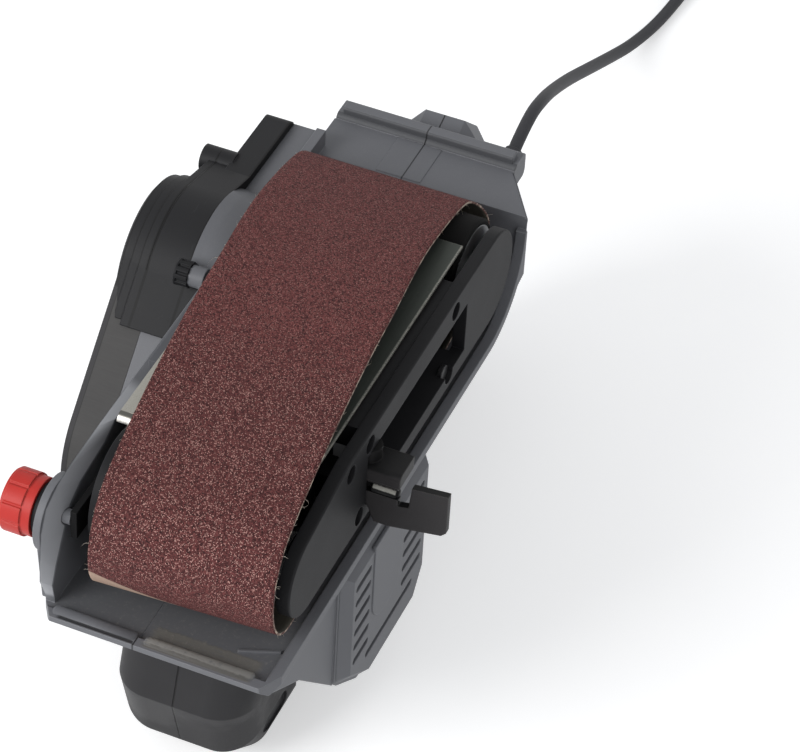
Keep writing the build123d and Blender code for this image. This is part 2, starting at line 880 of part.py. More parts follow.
winding_d = core_d - 6
winding_length = 5.0
with BuildPart() as armature_windings:
    ring(motor_x, motor_z, winding_d, shaft_d, core_right_y + winding_length, winding_length)
    ring(motor_x, motor_z, winding_d, shaft_d, core_right_y - core_length, winding_length)
    fillet(armature_windings.edges().filter_by(GeomType.CIRCLE).group_by(SortBy.RADIUS)[-1], 2.0)
keep(armature_windings.part, "armature_windings")

commutator_d = 24.0
commutator_right = core_right_y + winding_length + 13
with BuildPart() as commutator:
    with BuildSketch(across(commutator_right)):
        with Locations((motor_x, motor_z)):
            Circle(commutator_d / 2)
            with PolarLocations(commutator_d / 2, 2 * core_slots):
                Rectangle(2.4, 0.6, mode=Mode.SUBTRACT)
            Circle(shaft_d / 2, mode=Mode.SUBTRACT)
    extrude(amount=12)
keep(commutator.part, "commutator")

fan_d = motor_bore - 6
fan_right_y = core_right_y - core_length - winding_length - 4
fan_depth = 11.0
fan_blades = 11
fan_hub_d = 20.0
blade_in = fan_hub_d / 2 - 1
blade_out = fan_d / 2 - 1
with BuildPart() as motor_fan:
    ring(motor_x, motor_z, fan_d, shaft_d, fan_right_y - fan_depth + 2, 2)
    ring(motor_x, motor_z, fan_hub_d, shaft_d, fan_right_y, fan_depth)
    with BuildSketch(across(fan_right_y)):
        with Locations((motor_x, motor_z)):
            with PolarLocations((blade_in + blade_out) / 2, fan_blades):
                Rectangle(blade_out - blade_in, 1.6)
    extrude(amount=fan_depth)
keep(motor_fan.part, "motor_fan")

with BuildPart() as motor_bearings:
    ring(
        motor_x,
        motor_z,
        right_bearing_d,
        bearing_end_d + 2 * fit,
        shaft_right_y - 0.2,
        right_bearing_width,
    )
    ring(motor_x, motor_z, left_bearing_d, pulley_end_d + 2 * fit, left_bearing_right, left_bearing_width)
keep(motor_bearings.part, "motor_bearings")

field_inner_d = core_d + 2 * air_gap
coil_width = 26.0
coil_height = 9.0
coil_overhang = 5.0
coil_mid = field_inner_d / 2 + 4
with BuildPart() as field_core:
    with BuildSketch(across(core_right_y)):
        with Locations((motor_x, motor_z)):
            Circle(motor_bore / 2 - seat)
            Circle(field_inner_d / 2, mode=Mode.SUBTRACT)
            for side in (1, -1):
                with Locations((0, side * coil_mid)):
                    Rectangle(coil_width, coil_height, mode=Mode.SUBTRACT)
    extrude(amount=core_length)
keep(field_core.part, "field_core")

with BuildPart() as field_coils:
    with BuildSketch(across(core_right_y + coil_overhang)):
        with Locations((motor_x, motor_z)):
            for side in (1, -1):
                with Locations((0, side * (coil_mid + 2 * seat))):
                    Rectangle(coil_width - 4 * seat, coil_height - 8 * seat)
    extrude(amount=core_length + 2 * coil_overhang)
    fillet(field_coils.edges().filter_by(Axis.Y), 1.5)
keep(field_coils.part, "field_coils")

brush_width = 6.0
brush_length = 9.0
brush_out = 24.0
with BuildPart() as brush_holders:
    for side in (1, -1):
        near = motor_x + side * (commutator_d / 2 + 3)
        far = motor_x + side * (motor_bore / 2 - 0.6)
        block(
            min(near, far),
            max(near, far),
            commutator_right - 1.5 - brush_length,
            commutator_right - 0.5,
            motor_z - brush_width / 2 - 2,
            motor_z + brush_width / 2 + 2,
        )
        block(
            min(near, far),
            max(near, far),
            commutator_right - 0.8 - brush_length,
            commutator_right - 1.2,
            motor_z - brush_width / 2 - seat,
            motor_z + brush_width / 2 + seat,
            mode=Mode.SUBTRACT,
        )
keep(brush_holders.part, "brush_holders")

with BuildPart() as carbon_brushes:
    for side in (1, -1):
        near = motor_x + side * (commutator_d / 2 + slide)
        far = motor_x + side * brush_out
        block(
            min(near, far),
            max(near, far),
            commutator_right - 0.7 - brush_length,
            commutator_right - 1.3,
            motor_z - brush_width / 2,
            motor_z + brush_width / 2,
        )
keep(carbon_brushes.part, "carbon_brushes")

# Housing: one moulded form, split down its seam


pod_points = [
    (pod_rear_x, tray_bottom_z + 1),
    (pod_rear_x, pod_bottom_z + pod_cut_rear),
    (pod_rear_x + 0.75 * pod_cut_rear, pod_bottom_z),
    (pod_front_x - pod_cut_front, pod_bottom_z),
    (pod_front_x, pod_bottom_z + 0.75 * pod_cut_front),
    (pod_front_x, tray_bottom_z + 1),
]


def pod_section(grow):
    """Section of the motor pod with its lower corners cut off, wider all round by grow."""
    with BuildSketch() as section:
        with BuildLine():
            Polyline(*pod_points, close=True)
        make_face()
        fillet(vertices().sort_by(Axis.Y)[:4], pod_corner)
        offset(amount=grow)
    return section.sketch


wedge_low_z = pod_bottom_z + 0.75 * pod_cut_front
wedge_right_y = rim_y - 4.5
wedge_points = [
    (pod_front_x - 12, tray_bottom_z + 1),
    (lip_x - 5, tray_bottom_z + 1),
    (lip_x - 8, tray_bottom_z - 4),
    (pod_front_x + 34, tray_bottom_z - 24),
    (pod_front_x, wedge_low_z),
    (pod_front_x - 12, wedge_low_z),
]

# Rear handle, seen from the side: outer outline and finger opening
leg_top = (block_rear_x - 23, block_top_z)
leg_shoulder = (block_rear_x - 39, block_top_z - 14)
handle_points = [
    (block_rear_x + 6, block_top_z - 10),
    leg_top,
    leg_shoulder,
    leg_back,
    (leg_back[0], floor_z + 44),
    (leg_back[0] + 34, floor_z),
    (motor_x - 52, floor_z),
    (motor_x - 24, pod_bottom_z + 6),
    (motor_x - 24, motor_z),
    (block_rear_x + 40, tray_bottom_z + 1),
]
opening_low_z = floor_z + grip_depth
opening_points = [
    (block_rear_x - 2, tray_bottom_z - 12),
    (block_rear_x - 26, tray_bottom_z - 32),
    (block_rear_x - 26, opening_low_z + 8),
    (block_rear_x - 14, opening_low_z),
    (motor_x - 62, opening_low_z),
    (pod_rear_x - 4, opening_low_z + 14),
    (pod_rear_x - 4, tray_bottom_z - 12),
]
handle_right_y = seam_y + grip_width / 2
trigger_x = motor_x - trigger_behind
trigger_half = 17.0
stud_d = 9.0
stud_cap_d = 11.0
stud_angle = radians(39.5)
stud_reach = drum_r + stud_cap_d / 2 + 1
stud_x = counter_x + stud_reach * cos(stud_angle)
stud_z = counter_z + stud_reach * sin(stud_angle)
stud_left_y = wall_outer_y - 6.5
gland_y = seam_y + 10
gland_z = leg_back[1] + 11.6
leg_slope = Vector(leg_back[0] - leg_shoulder[0], 0, leg_back[1] - leg_shoulder[1])
gland_x = leg_shoulder[0] + leg_slope.X * (gland_z - leg_shoulder[1]) / leg_slope.Z
gland_axis = Vector(leg_slope.Z, 0, -leg_slope.X).normalized()
gland_base = Vector(gland_x, gland_y, gland_z)
gland_boss_d = gland_d + 4
gland_boss_depth = 14.0


def handle_form():
    """Closed rear handle with its finger opening and bevelled sides."""
    with BuildPart() as form:
        with BuildSketch(across(handle_right_y)):
            with BuildLine():
                Polyline(*handle_points, close=True)
            make_face()
            fillet(vertices().sort_by(Axis.Y)[:4], 16)
            with BuildLine():
                Polyline(*opening_points, close=True)
            make_face(mode=Mode.SUBTRACT)
        extrude(amount=grip_width)
        for side in (0, -1):
            outer = form.faces().sort_by(Axis.Y)[side].outer_wire().edges()
            free = [
                edge
                for edge in outer
                if edge.center().X < block_rear_x or edge.center().Z < pod_bottom_z
            ]
            chamfer(free, grip_bevel)
    return form.part


shell_turn = radians(55)
shell_end = (rear_axis_x - shell_r * sin(shell_turn), roller_z - shell_r * cos(shell_turn))
shell_bevel = 2.4
block_low_z = tray_bottom_z + 24
taper_run = Vector(block_rear_x - wrap_top_x, seam_y + block_rear_half - rim_y, 0)
taper_out = taper_run.normalized().cross(Vector(0, 0, 1)) * -1
wall_rear_x = block_rear_x + 19
# Top line of the left wall on its inner and outer face: it falls round the knob's boss to the lip
wall_inner_line = [
    (knob_x - 41, wall_top_z - 1.0),
    (knob_x - 33, wall_top_z - 5.6),
    (knob_x - 12, knob_z + 8.3),
    (knob_x - 3.4, knob_z + 3.8),
    (knob_x + 1.2, knob_z - 3.1),
    (knob_x + 5.7, knob_z - 10.6),
    (knob_x + 10.2, knob_z - 18.1),
    (knob_x + 13.4, knob_z - 25.6),
]
wall_outer_line = [
    (knob_x - 41, wall_top_z),
    (knob_x - 33, wall_top_z),
    (knob_x - 9.5, knob_z + boss_d / 2 + 0.8),
    (knob_x + 1.0, knob_z + boss_d / 2 - 0.4),
    (knob_x + 10.6, knob_z + 10.8),
    (knob_x + 15.1, knob_z + 1.6),
    (knob_x + 15.9, knob_z - 11.0),
    (knob_x + 16.4, knob_z - 22.0),
]


def housing_form():
    """Tray over the belt, walls, motor pod and rear handle as one solid."""
    with BuildPart() as form:
        with BuildSketch(across(rim_y)):
            with BuildLine():
                Polyline(
                    (rear_axis_x, ceiling_z),
                    (lip_x - rim_width - rim_height, ceiling_z),
                    (lip_x - rim_width, rim_z),
                    (lip_x, rim_z),
                    (lip_x, rim_z - rim_height),
                    (lip_x - wall, tray_bottom_z),
                    (rear_axis_x, tray_bottom_z),
                )
                ThreePointArc(
                    (rear_axis_x, tray_bottom_z),
                    (rear_axis_x - shell_r * sin(shell_turn / 2), roller_z - shell_r * cos(shell_turn / 2)),
                    shell_end,
                )
                Polyline(
                    shell_end,
                    (block_rear_x, block_low_z),
                    (block_rear_x, block_top_z),
                    (wrap_top_x, block_top_z),
                )
                ThreePointArc(
                    (wrap_top_x, block_top_z),
                    (rear_axis_x - wrap_r * cos(pi / 4), roller_z - wrap_r * sin(pi / 4)),
                    (rear_axis_x, ceiling_z),
                )
            make_face()
        extrude(amount=rim_y - wall_outer_y)
        right_edges = form.faces().sort_by(Axis.Y)[-1].edges()
        shell_arc = right_edges.filter_by(GeomType.CIRCLE).sort_by(SortBy.RADIUS)[-1]
        chamfer([right_edges.sort_by(Axis.Z)[0], shell_arc], shell_bevel)
        with BuildSketch(across(rim_y)):
            with BuildLine():
                inner_r = wrap_r - rim_height
                Line((rear_axis_x, rim_z), (lip_x - rim_width, rim_z))
                Line((lip_x - rim_width, rim_z), (lip_x - rim_width, ceiling_z))
                Line((lip_x - rim_width, ceiling_z), (rear_axis_x, ceiling_z))
                ThreePointArc(
                    (rear_axis_x, ceiling_z),
                    (rear_axis_x - wrap_r * cos(pi / 4), roller_z - wrap_r * sin(pi / 4)),
                    (rear_axis_x - wrap_r, roller_z),
                )
                Line((rear_axis_x - wrap_r, roller_z), (rear_axis_x - inner_r, roller_z))
                ThreePointArc(
                    (rear_axis_x - inner_r, roller_z),
                    (rear_axis_x - inner_r * cos(pi / 4), roller_z - inner_r * sin(pi / 4)),
                    (rear_axis_x, rim_z),
                )
            make_face()
        extrude(amount=rim_width)
        with BuildSketch(across(block_rear_half + seam_y)):
            with Locations((block_rear_x - ridge_width / 2, block_top_z + ridge_height - 6)):
                RectangleRounded(ridge_width, 12, 3)
        extrude(amount=2 * block_rear_half)
        with BuildSketch(Plane.XY.offset(tray_bottom_z - 1)):
            with BuildLine():
                Polyline(
                    (wrap_top_x, rim_y + 1),
                    (wrap_top_x, rim_y - 0.2),
                    (block_rear_x, seam_y + block_rear_half),
                    (block_rear_x - ridge_width - 1, seam_y + block_rear_half),
                    (block_rear_x - ridge_width - 1, rim_y + 1),
                    close=True,
                )
            make_face()
        extrude(amount=-tray_bottom_z, mode=Mode.SUBTRACT)
        taper_corner = Vector(wrap_top_x, rim_y, block_top_z)
        with BuildSketch(Plane(origin=taper_corner, x_dir=taper_out, z_dir=taper_run)):
            with BuildLine():
                Polyline((-block_bevel - 1, -1), (1, -1), (1, block_bevel + 1), close=True)
            make_face()
        extrude(amount=taper_run.length, mode=Mode.SUBTRACT)
        for plane_y, low_points in ((wall_inner_y, wall_inner_line), (wall_outer_y, wall_outer_line)):
            with BuildSketch(across(plane_y)):
                with BuildLine():
                    Polyline(
                        (wall_rear_x, tray_bottom_z),
                        (wall_rear_x, wall_top_z),
                        *low_points,
                        (lip_x - lip_corner, rim_z),
                        (lip_x - lip_corner, tray_bottom_z),
                        close=True,
                    )
                make_face()
        loft(ruled=True)
        with BuildSketch(Plane.XY.offset(tray_bottom_z)):
            with BuildLine():
                Polyline(
                    (wall_rear_x, wall_inner_y),
                    (stud_x + 8, wall_inner_y),
                    (stud_x + 8, wall_outer_y),
                    (counter_x + 18, block_left_y),
                    (wall_rear_x, block_left_y),
                    close=True,
                )
            make_face()
        extrude(amount=wall_top_z - 1.5 - tray_bottom_z)
        hull_of(
            [(knob_x, knob_z, boss_d / 2), (lip_x - lip_corner - 3, rim_z, 3), (lip_x - 58, rim_z, 3)],
            wall_outer_y,
            boss_height / 2,
        )
        disc(knob_x, knob_z, boss_d, wall_outer_y, boss_height)
        disc(stud_x, stud_z, stud_d, wall_outer_y, wall_outer_y - stud_left_y)
        with BuildSketch(Plane.XY.offset(tray_bottom_z - 1)):
            with BuildLine():
                Polyline(
                    (lip_x + 1, rim_y - 5.6),
                    (lip_x + 1, rim_y + 1),
                    (lip_x - lip_corner, rim_y + 1),
                    (lip_x - lip_corner, rim_y),
                    close=True,
                )
            make_face()
            with BuildLine():
                Polyline(
                    (lip_x + 1, wall_outer_y + 7),
                    (lip_x + 1, wall_outer_y - 1),
                    (lip_x - lip_corner, wall_outer_y - 1),
                    (lip_x - lip_corner, wall_outer_y),
                    close=True,
                )
            make_face()
        extrude(amount=rim_z - tray_bottom_z + 2, mode=Mode.SUBTRACT)
        with BuildSketch(across(pod_right_y)):
            add(pod_section(0))
        extrude(amount=pod_right_y - pod_left_y)
        with BuildSketch(across(wedge_right_y)):
            with BuildLine():
                Polyline(*wedge_points, close=True)
            make_face()
        extrude(amount=wedge_right_y - wall_outer_y - 5)
        hull_of(
            [(*drum, cover_r), (*arm_end, arm_r)],
            pod_left_y,
            pod_left_y - arm_right_y,
        )
        add(handle_form())
        with BuildSketch(Plane(origin=gland_base, z_dir=gland_axis)):
            Circle(gland_boss_d / 2)
        extrude(amount=-gland_boss_depth)
        # Pockets for the motor, bearings, drive and switch
        disc(
            motor_x,
            motor_z,
            motor_bore,
            pod_right_y,
            pod_right_y - left_bearing_right - 2,
            mode=Mode.SUBTRACT,
        )
        disc(
            motor_x,
            motor_z,
            left_bearing_d + 2 * seat,
            left_bearing_right + 2,
            left_bearing_width + 2,
            mode=Mode.SUBTRACT,
        )
        disc(motor_x, motor_z, pulley_end_d + 4, left_bearing_right, 40, mode=Mode.SUBTRACT)
        hull_of(
            [(*drum, drum_r + seat), (rear_axis_x, roller_z, drum_r)],
            case_right_y,
            case_depth + 1,
            mode=Mode.SUBTRACT,
        )
        disc(
            rear_axis_x,
            roller_z,
            roller_bearing_d + 2 * seat,
            block_left_y + 1 + roller_bearing_width,
            roller_bearing_width + 1,
            mode=Mode.SUBTRACT,
        )
        disc(rear_axis_x, roller_z, drive_shaft_d + 3, wall_inner_y, 20, mode=Mode.SUBTRACT)
        disc(
            *drum,
            counter_bearing_d + 2 * seat,
            block_left_y + counter_bearing_width + 1.5,
            counter_bearing_width + 1.5,
            mode=Mode.SUBTRACT,
        )
        disc(knob_x, knob_z, screw_d + 1, wall_inner_y, 12, mode=Mode.SUBTRACT)
        block(
            trigger_x - trigger_half - slide,
            trigger_x + trigger_half + slide,
            seam_y - trigger_width / 2 - slide,
            seam_y + trigger_width / 2 + slide,
            floor_z + 8,
            opening_low_z + 1,
            mode=Mode.SUBTRACT,
        )
        disc(
            trigger_x - trigger_half - 10,
            floor_z + grip_depth / 2,
            lock_d + 2 * slide,
            seam_y - 6,
            grip_width,
            mode=Mode.SUBTRACT,
        )
    return form.part


housing = housing_form()
with BuildPart() as housing_left:
    add(housing)
    split(bisect_by=across(seam_y), keep=Keep.TOP)
keep(housing_left.part, "housing_left")

with BuildPart() as housing_right:
    add(housing)
    split(bisect_by=across(seam_y), keep=Keep.BOTTOM)
keep(housing_right.part, "housing_right")

# End cap of the motor pod, with its air slots

vent_pitch = 8.2
vent_width = 3.4
split_rows = 6
top_vent_z = motor_z + 28
front_vent_x = pod_front_x - 15.25
front_vent_length = 15.5
rear_vent_x = pod_rear_x + 19
rear_vent_length = 20.0
long_vent_length = 48.0
cap_boss_depth = right_bearing_width + 2
with BuildPart() as motor_end_cap:
    with BuildSketch(across(cap_right_y)):
        add(pod_section(-1 - 2 * seat))
    extrude(amount=cap_thick)
    chamfer(motor_end_cap.faces().sort_by(Axis.Y)[-1].edges(), cap_thick - seat)
    with BuildSketch(across(cap_right_y)):
        for row in range(split_rows):
            with Locations((front_vent_x, top_vent_z - row * vent_pitch)):
                SlotOverall(front_vent_length, vent_width)
            with Locations((rear_vent_x, top_vent_z - row * vent_pitch)):
                SlotOverall(rear_vent_length, vent_width)
        with Locations((motor_x - 2, top_vent_z - split_rows * vent_pitch)):
            SlotOverall(long_vent_length, vent_width)
    extrude(amount=cap_thick, mode=Mode.SUBTRACT)
    disc(motor_x, motor_z, right_bearing_d + 7, pod_right_y, cap_boss_depth)
    disc(
        motor_x,
        motor_z,
        right_bearing_d + 2 * seat,
        pod_right_y - 1,
        cap_boss_depth,
        mode=Mode.SUBTRACT,
    )
keep(motor_end_cap.part, "motor_end_cap")

# Front handle, two halves that meet on the housing's seam

handle_rear_x = motor_x + 11
handle_front_x = pod_front_x + 36
recess_length = 22.0
recess_width = 9.0
with BuildPart() as front_handle:
    with BuildSketch(across(seam_y + front_handle_width / 2)):
        with BuildLine():
            Polyline(
                (handle_rear_x, floor_z),
                (handle_front_x - 24, floor_z),
                (handle_front_x - front_handle_nose, floor_z + 13),
                (handle_front_x, floor_z + 40),
                (handle_front_x - front_handle_nose, floor_z + front_handle_height),
                (handle_rear_x, floor_z + front_handle_height),
                close=True,
            )
        make_face()
    extrude(amount=front_handle_width)
    fillet(front_handle.faces().sort_by(Axis.Y)[0].edges(), front_handle_round)
    fillet(front_handle.faces().sort_by(Axis.Y)[-1].edges(), front_handle_round)
    with BuildSketch(across(rim_y)):
        add(pod_section(seat))
        with BuildLine():
            Polyline(*wedge_points, close=True)
        make_face()
    extrude(amount=2 * rim_y, mode=Mode.SUBTRACT)
    with BuildSketch(across(seam_y + front_handle_width / 2)):
        with Locations((handle_front_x - 34, floor_z + 18)):
            SlotOverall(recess_length, recess_width)
    extrude(amount=1.5, mode=Mode.SUBTRACT)

with BuildPart() as front_handle_left:
    add(front_handle.part)
    split(bisect_by=across(seam_y), keep=Keep.TOP)
keep(front_handle_left.part, "front_handle_left")

with BuildPart() as front_handle_right:
    add(front_handle.part)
    split(bisect_by=across(seam_y), keep=Keep.BOTTOM)
keep(front_handle_right.part, "front_handle_right")

# Trigger, its switch and the lock button

trigger_low_z = opening_low_z - 9
switch_top_z = trigger_low_z - trigger_travel - 1
with BuildPart() as trigger:
    with BuildSketch(across(seam_y + trigger_width / 2)):
        with BuildLine():
            Polyline(
                (trigger_x - trigger_half, opening_low_z + 4),
                (trigger_x - trigger_half, trigger_low_z),
                (trigger_x + trigger_half, trigger_low_z),
                (trigger_x + trigger_half, opening_low_z + 9),
            )
            ThreePointArc(
                (trigger_x + trigger_half, opening_low_z + 9),
                (trigger_x + 2, opening_low_z + 5),
                (trigger_x - trigger_half, opening_low_z + 4),
            )
        make_face()
    extrude(amount=trigger_width)
    fillet(trigger.faces().sort_by(Axis.Z)[-1].edges(), 1.5)
keep(trigger.part, "trigger")

with BuildPart() as switch_body:
    block(
        trigger_x - trigger_half + 1,
        trigger_x + trigger_half - 1,
        seam_y - trigger_width / 2 + 1,
        seam_y + trigger_width / 2 - 1,
        floor_z + 8,
        switch_top_z,
    )
keep(switch_body.part, "switch_body")

lock_x = trigger_x - trigger_half - 10
lock_z = floor_z + grip_depth / 2
grip_left_y = handle_right_y - grip_width
with BuildPart() as lock_button:
    disc(lock_x, lock_z, lock_d, grip_left_y + 8, 8 + lock_travel + 0.5)
    fillet(lock_button.faces().sort_by(Axis.Y)[0].edges(), 1.2)
keep(lock_button.part, "lock_button")

# Ribbed cap on the stud beside the drum

stud_cap_length = 6.0
stud_cap_ribs = 10
with BuildPart() as stud_cap:
    disc(stud_x, stud_z, stud_cap_d, stud_left_y, stud_cap_length)
    with BuildSketch(across(stud_left_y)):
        with Locations((stud_x, stud_z)):
            with PolarLocations(stud_cap_d / 2, stud_cap_ribs):
                Circle(0.8)
    extrude(amount=stud_cap_length - 1, mode=Mode.SUBTRACT)
keep(stud_cap.part, "stud_cap")

# Cord gland on the sloping back of the rear handle

gland_tip = gland_base + gland_axis * gland_length
gland_rings = 4
ring_pitch = 4.4
with BuildPart() as cord_gland:
    with BuildSketch(Plane(origin=gland_base, x_dir=gland_axis, z_dir=(0, 1, 0))):
        with BuildLine():
            Polyline(
                (0, 0),
                (0, gland_d / 2),
                (5, gland_d / 2),
                (6, gland_d / 2 - 1.2),
                (gland_length, cord_d / 2 + 1.0),
                (gland_length, 0),
                close=True,
            )
        make_face()
        for number in range(gland_rings):
            with Locations((9 + number * ring_pitch, gland_d / 2 - 0.4 * number)):
                Rectangle(1.6, 3.6, mode=Mode.SUBTRACT)
    revolve(axis=Axis(gland_base, gland_axis))
keep(cord_gland.part, "cord_gland")

# Cord: a free stretch to the floor, then a tied coil of the rest and the plug

coil_low_z = floor_z + tie_thick + slide + cord_d / 2
coil_entry = Vector(-coil_behind, -1.2, coil_low_z)
cord_route = [
    gland_tip,
    gland_tip + gland_axis * 20,
    *[Vector(x, y, floor_z + lift) for x, y, lift in cord_bends],
    coil_entry + Vector(37, -1.4, -0.6),
    coil_entry + Vector(15, 0, 0),
    coil_entry,
]


def route_radii(route):
    """Largest fillet that each corner of a route has room for."""
    radii = []
    for before, here, after in zip(route, route[1:], route[2:]):
        arriving = here - before
        leaving = after - here
        shorter = min(arriving.length, leaving.length)
        radii.append(0.45 * shorter / tan(radians(arriving.get_angle(leaving)) / 2))
    return radii


cord_radii = route_radii(cord_route)
with BuildPart() as cord:
    with BuildLine() as cord_path:
        FilletPolyline(*cord_route, radius=cord_radii)
    with BuildSketch(Plane(origin=cord_route[0], z_dir=gland_axis)):
        Circle(cord_d / 2)
    sweep()
free_length = cord_path.wire().length
keep(cord.part, "cord")

half_turns = 2 * coil_turns_a_layer
coil_length = cord_length - free_length - 2 * cord_d
inward = half_turns * (half_turns - 1) / 2 + (half_turns - 2) * (half_turns - 1) / 2
coil_outer_r = (coil_length / pi + inward * coil_step / 2) / (2 * half_turns - 1)
coil_top_z = coil_low_z + coil_step
with BuildPart() as cord_coil:
    with BuildLine():
        spot = coil_entry + Vector(-cord_d, 0, 0)
        Line(coil_entry, spot)
        for step in range(2 * half_turns - 1):
            inner_steps = step if step < half_turns else 2 * half_turns - 2 - step
            width = 2 * (coil_outer_r - inner_steps * coil_step / 2)
            side = Vector(0, -width if step % 2 == 0 else width, 0)
            climb = coil_step if step == half_turns - 1 else 0
            arc = half_turn(spot, side, climb, Vector(0, 0, 1))
            spot = arc @ 1
        Line(spot, spot + Vector(cord_d, 0, 0))
        coil_end = spot + Vector(cord_d, 0, 0)
    with BuildSketch(Plane(origin=coil_entry, z_dir=(-1, 0, 0))):
        Circle(cord_d / 2)
    sweep()
keep(cord_coil.part, "cord_coil")

tie_x_out = coil_entry.X - cord_d - coil_outer_r - cord_d / 2 - slide
tie_x_in = tie_x_out + (coil_turns_a_layer - 1) * coil_step + cord_d + 2 * slide + 2.2
tie_y = coil_entry.Y - coil_outer_r - coil_step / 2
with BuildPart() as cord_tie:
    with BuildSketch(across(tie_y + tie_width / 2)):
        middle = ((tie_x_out + tie_x_in) / 2, (coil_low_z + coil_top_z) / 2)
        tie_long = tie_x_in - tie_x_out
        tie_high = coil_top_z - coil_low_z + cord_d + 2 * slide
        with Locations(middle):
            RectangleRounded(tie_long + 2 * tie_thick, tie_high + 2 * tie_thick, 2.4)
            RectangleRounded(tie_long, tie_high, 1.2, mode=Mode.SUBTRACT)
    extrude(amount=tie_width)
keep(cord_tie.part, "cord_tie")

relief_length = 22.0
plug_half = coil_top_z - floor_z
with BuildPart() as plug_body:
    with BuildSketch(Plane.YZ.offset(coil_end.X)):
        with Locations((coil_end.Y, coil_end.Z)):
            Circle(cord_d / 2 + 0.3)
    with BuildSketch(Plane.YZ.offset(coil_end.X + relief_length)):
        with Locations((coil_end.Y, coil_end.Z)):
            Circle(5)
    loft()
    with BuildSketch(Plane.YZ.offset(coil_end.X + relief_length)):
        with Locations((coil_end.Y, coil_end.Z)):
            RectangleRounded(plug_width, 2 * plug_half, 6)
    extrude(amount=plug_length)
    chamfer(plug_body.faces().sort_by(Axis.X)[-1].edges(), 1.5)
keep(plug_body.part, "plug_body")

with BuildPart() as plug_pins:
    with BuildSketch(Plane.YZ.offset(coil_end.X + relief_length + plug_length)):
        with Locations((coil_end.Y, coil_end.Z)):
            with GridLocations(plug_pin_pitch, 0, 2, 1):
                Circle(plug_pin_d / 2)
    extrude(amount=plug_pin_length)
keep(plug_pins.part, "plug_pins")
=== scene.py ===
import bpy
import bmesh
import json
import random
from math import cos, pi, radians, sin, tan
from mathutils import Matrix, Vector


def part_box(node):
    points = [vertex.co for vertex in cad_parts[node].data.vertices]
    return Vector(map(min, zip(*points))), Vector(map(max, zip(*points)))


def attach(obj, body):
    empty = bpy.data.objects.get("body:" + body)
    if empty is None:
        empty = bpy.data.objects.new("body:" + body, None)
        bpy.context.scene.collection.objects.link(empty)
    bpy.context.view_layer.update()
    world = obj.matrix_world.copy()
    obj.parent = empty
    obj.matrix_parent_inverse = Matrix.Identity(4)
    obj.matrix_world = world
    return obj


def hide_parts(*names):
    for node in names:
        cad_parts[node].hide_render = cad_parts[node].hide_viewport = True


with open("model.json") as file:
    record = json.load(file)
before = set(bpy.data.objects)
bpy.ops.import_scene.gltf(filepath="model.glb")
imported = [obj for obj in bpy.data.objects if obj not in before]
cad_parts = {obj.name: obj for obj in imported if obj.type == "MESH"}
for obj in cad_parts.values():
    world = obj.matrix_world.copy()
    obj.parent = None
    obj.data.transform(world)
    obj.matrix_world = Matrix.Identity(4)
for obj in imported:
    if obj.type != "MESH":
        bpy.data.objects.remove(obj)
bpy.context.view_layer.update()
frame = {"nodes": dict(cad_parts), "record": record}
nodes = frame["nodes"]
scene = bpy.context.scene
scene.view_settings.view_transform = "Standard"

# The drawing's own datum: x from the platen's rear edge, y from the middle of the rollers, z from its face
platen_right_y = 39.0
platen_low, platen_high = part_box("platen")
datum = Vector((platen_low.x, platen_high.y - platen_right_y / 1000, platen_high.z))
floor_z = -datum.z * 1000
lever_pin = (sum(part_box("lever_pin"), Vector()) / 2 - datum) * 1000

# Places in the drawing that several pieces share, in millimetres
seam_y = -8.0
lip_x = 204.5
rim_z = -59.5
drum_x = 19.6
drum_z = -38.2
drum_r = 37.6
ring_y = (-77.8, -81.5, -85.5, -89.5)
bar_x = 113.1
bar_z = -30.6
bar_r = 2.6
bar_left_y = 49.5
bar_right_y = 61.2


def at(x, y, z):
    """Point of the drawing in millimetres, as a place in the row's frame in metres."""
    return datum + Vector((x, y, z)) / 1000


# Camera, as solved from the photograph

photo_width = 800
focal_pixels = 3600
camera_place = (1045.6, 412.4, 927.5)
right = Vector((-0.39244, 0.91866, 0.04527))
down = Vector((0.60283, 0.29407, -0.74170))
ahead = Vector((-0.69469, -0.26378, -0.66920))

camera_data = bpy.data.cameras.new("camera")
camera_data.sensor_width = 36
camera_data.lens = camera_data.sensor_width * focal_pixels / photo_width
camera_data.clip_end = 20
camera = bpy.data.objects.new("camera", camera_data)
scene.collection.objects.link(camera)
turn = Matrix((right, -down, -ahead)).transposed().to_4x4()
camera.matrix_world = Matrix.Translation(at(*camera_place)) @ turn
scene.camera = camera


# Shader maths


class Socket:
    """One output of a node, with the arithmetic of a Math node."""

    def __init__(self, shade, link):
        self.shade = shade
        self.link = link

    def maths(self, operation, first, second=0.0):
        return self.shade.node("ShaderNodeMath", {"operation": operation}, {0: first, 1: second})

    def __add__(self, other):
        return self.maths("ADD", self, other)

    def __radd__(self, other):
        return self.maths("ADD", other, self)

    def __sub__(self, other):
        return self.maths("SUBTRACT", self, other)

    def __rsub__(self, other):
        return self.maths("SUBTRACT", other, self)

    def __mul__(self, other):
        return self.maths("MULTIPLY", self, other)

    def __rmul__(self, other):
        return self.maths("MULTIPLY", other, self)

    def __abs__(self):
        return self.maths("ABSOLUTE", self)

    def larger(self, other):
        return self.maths("MAXIMUM", self, other)


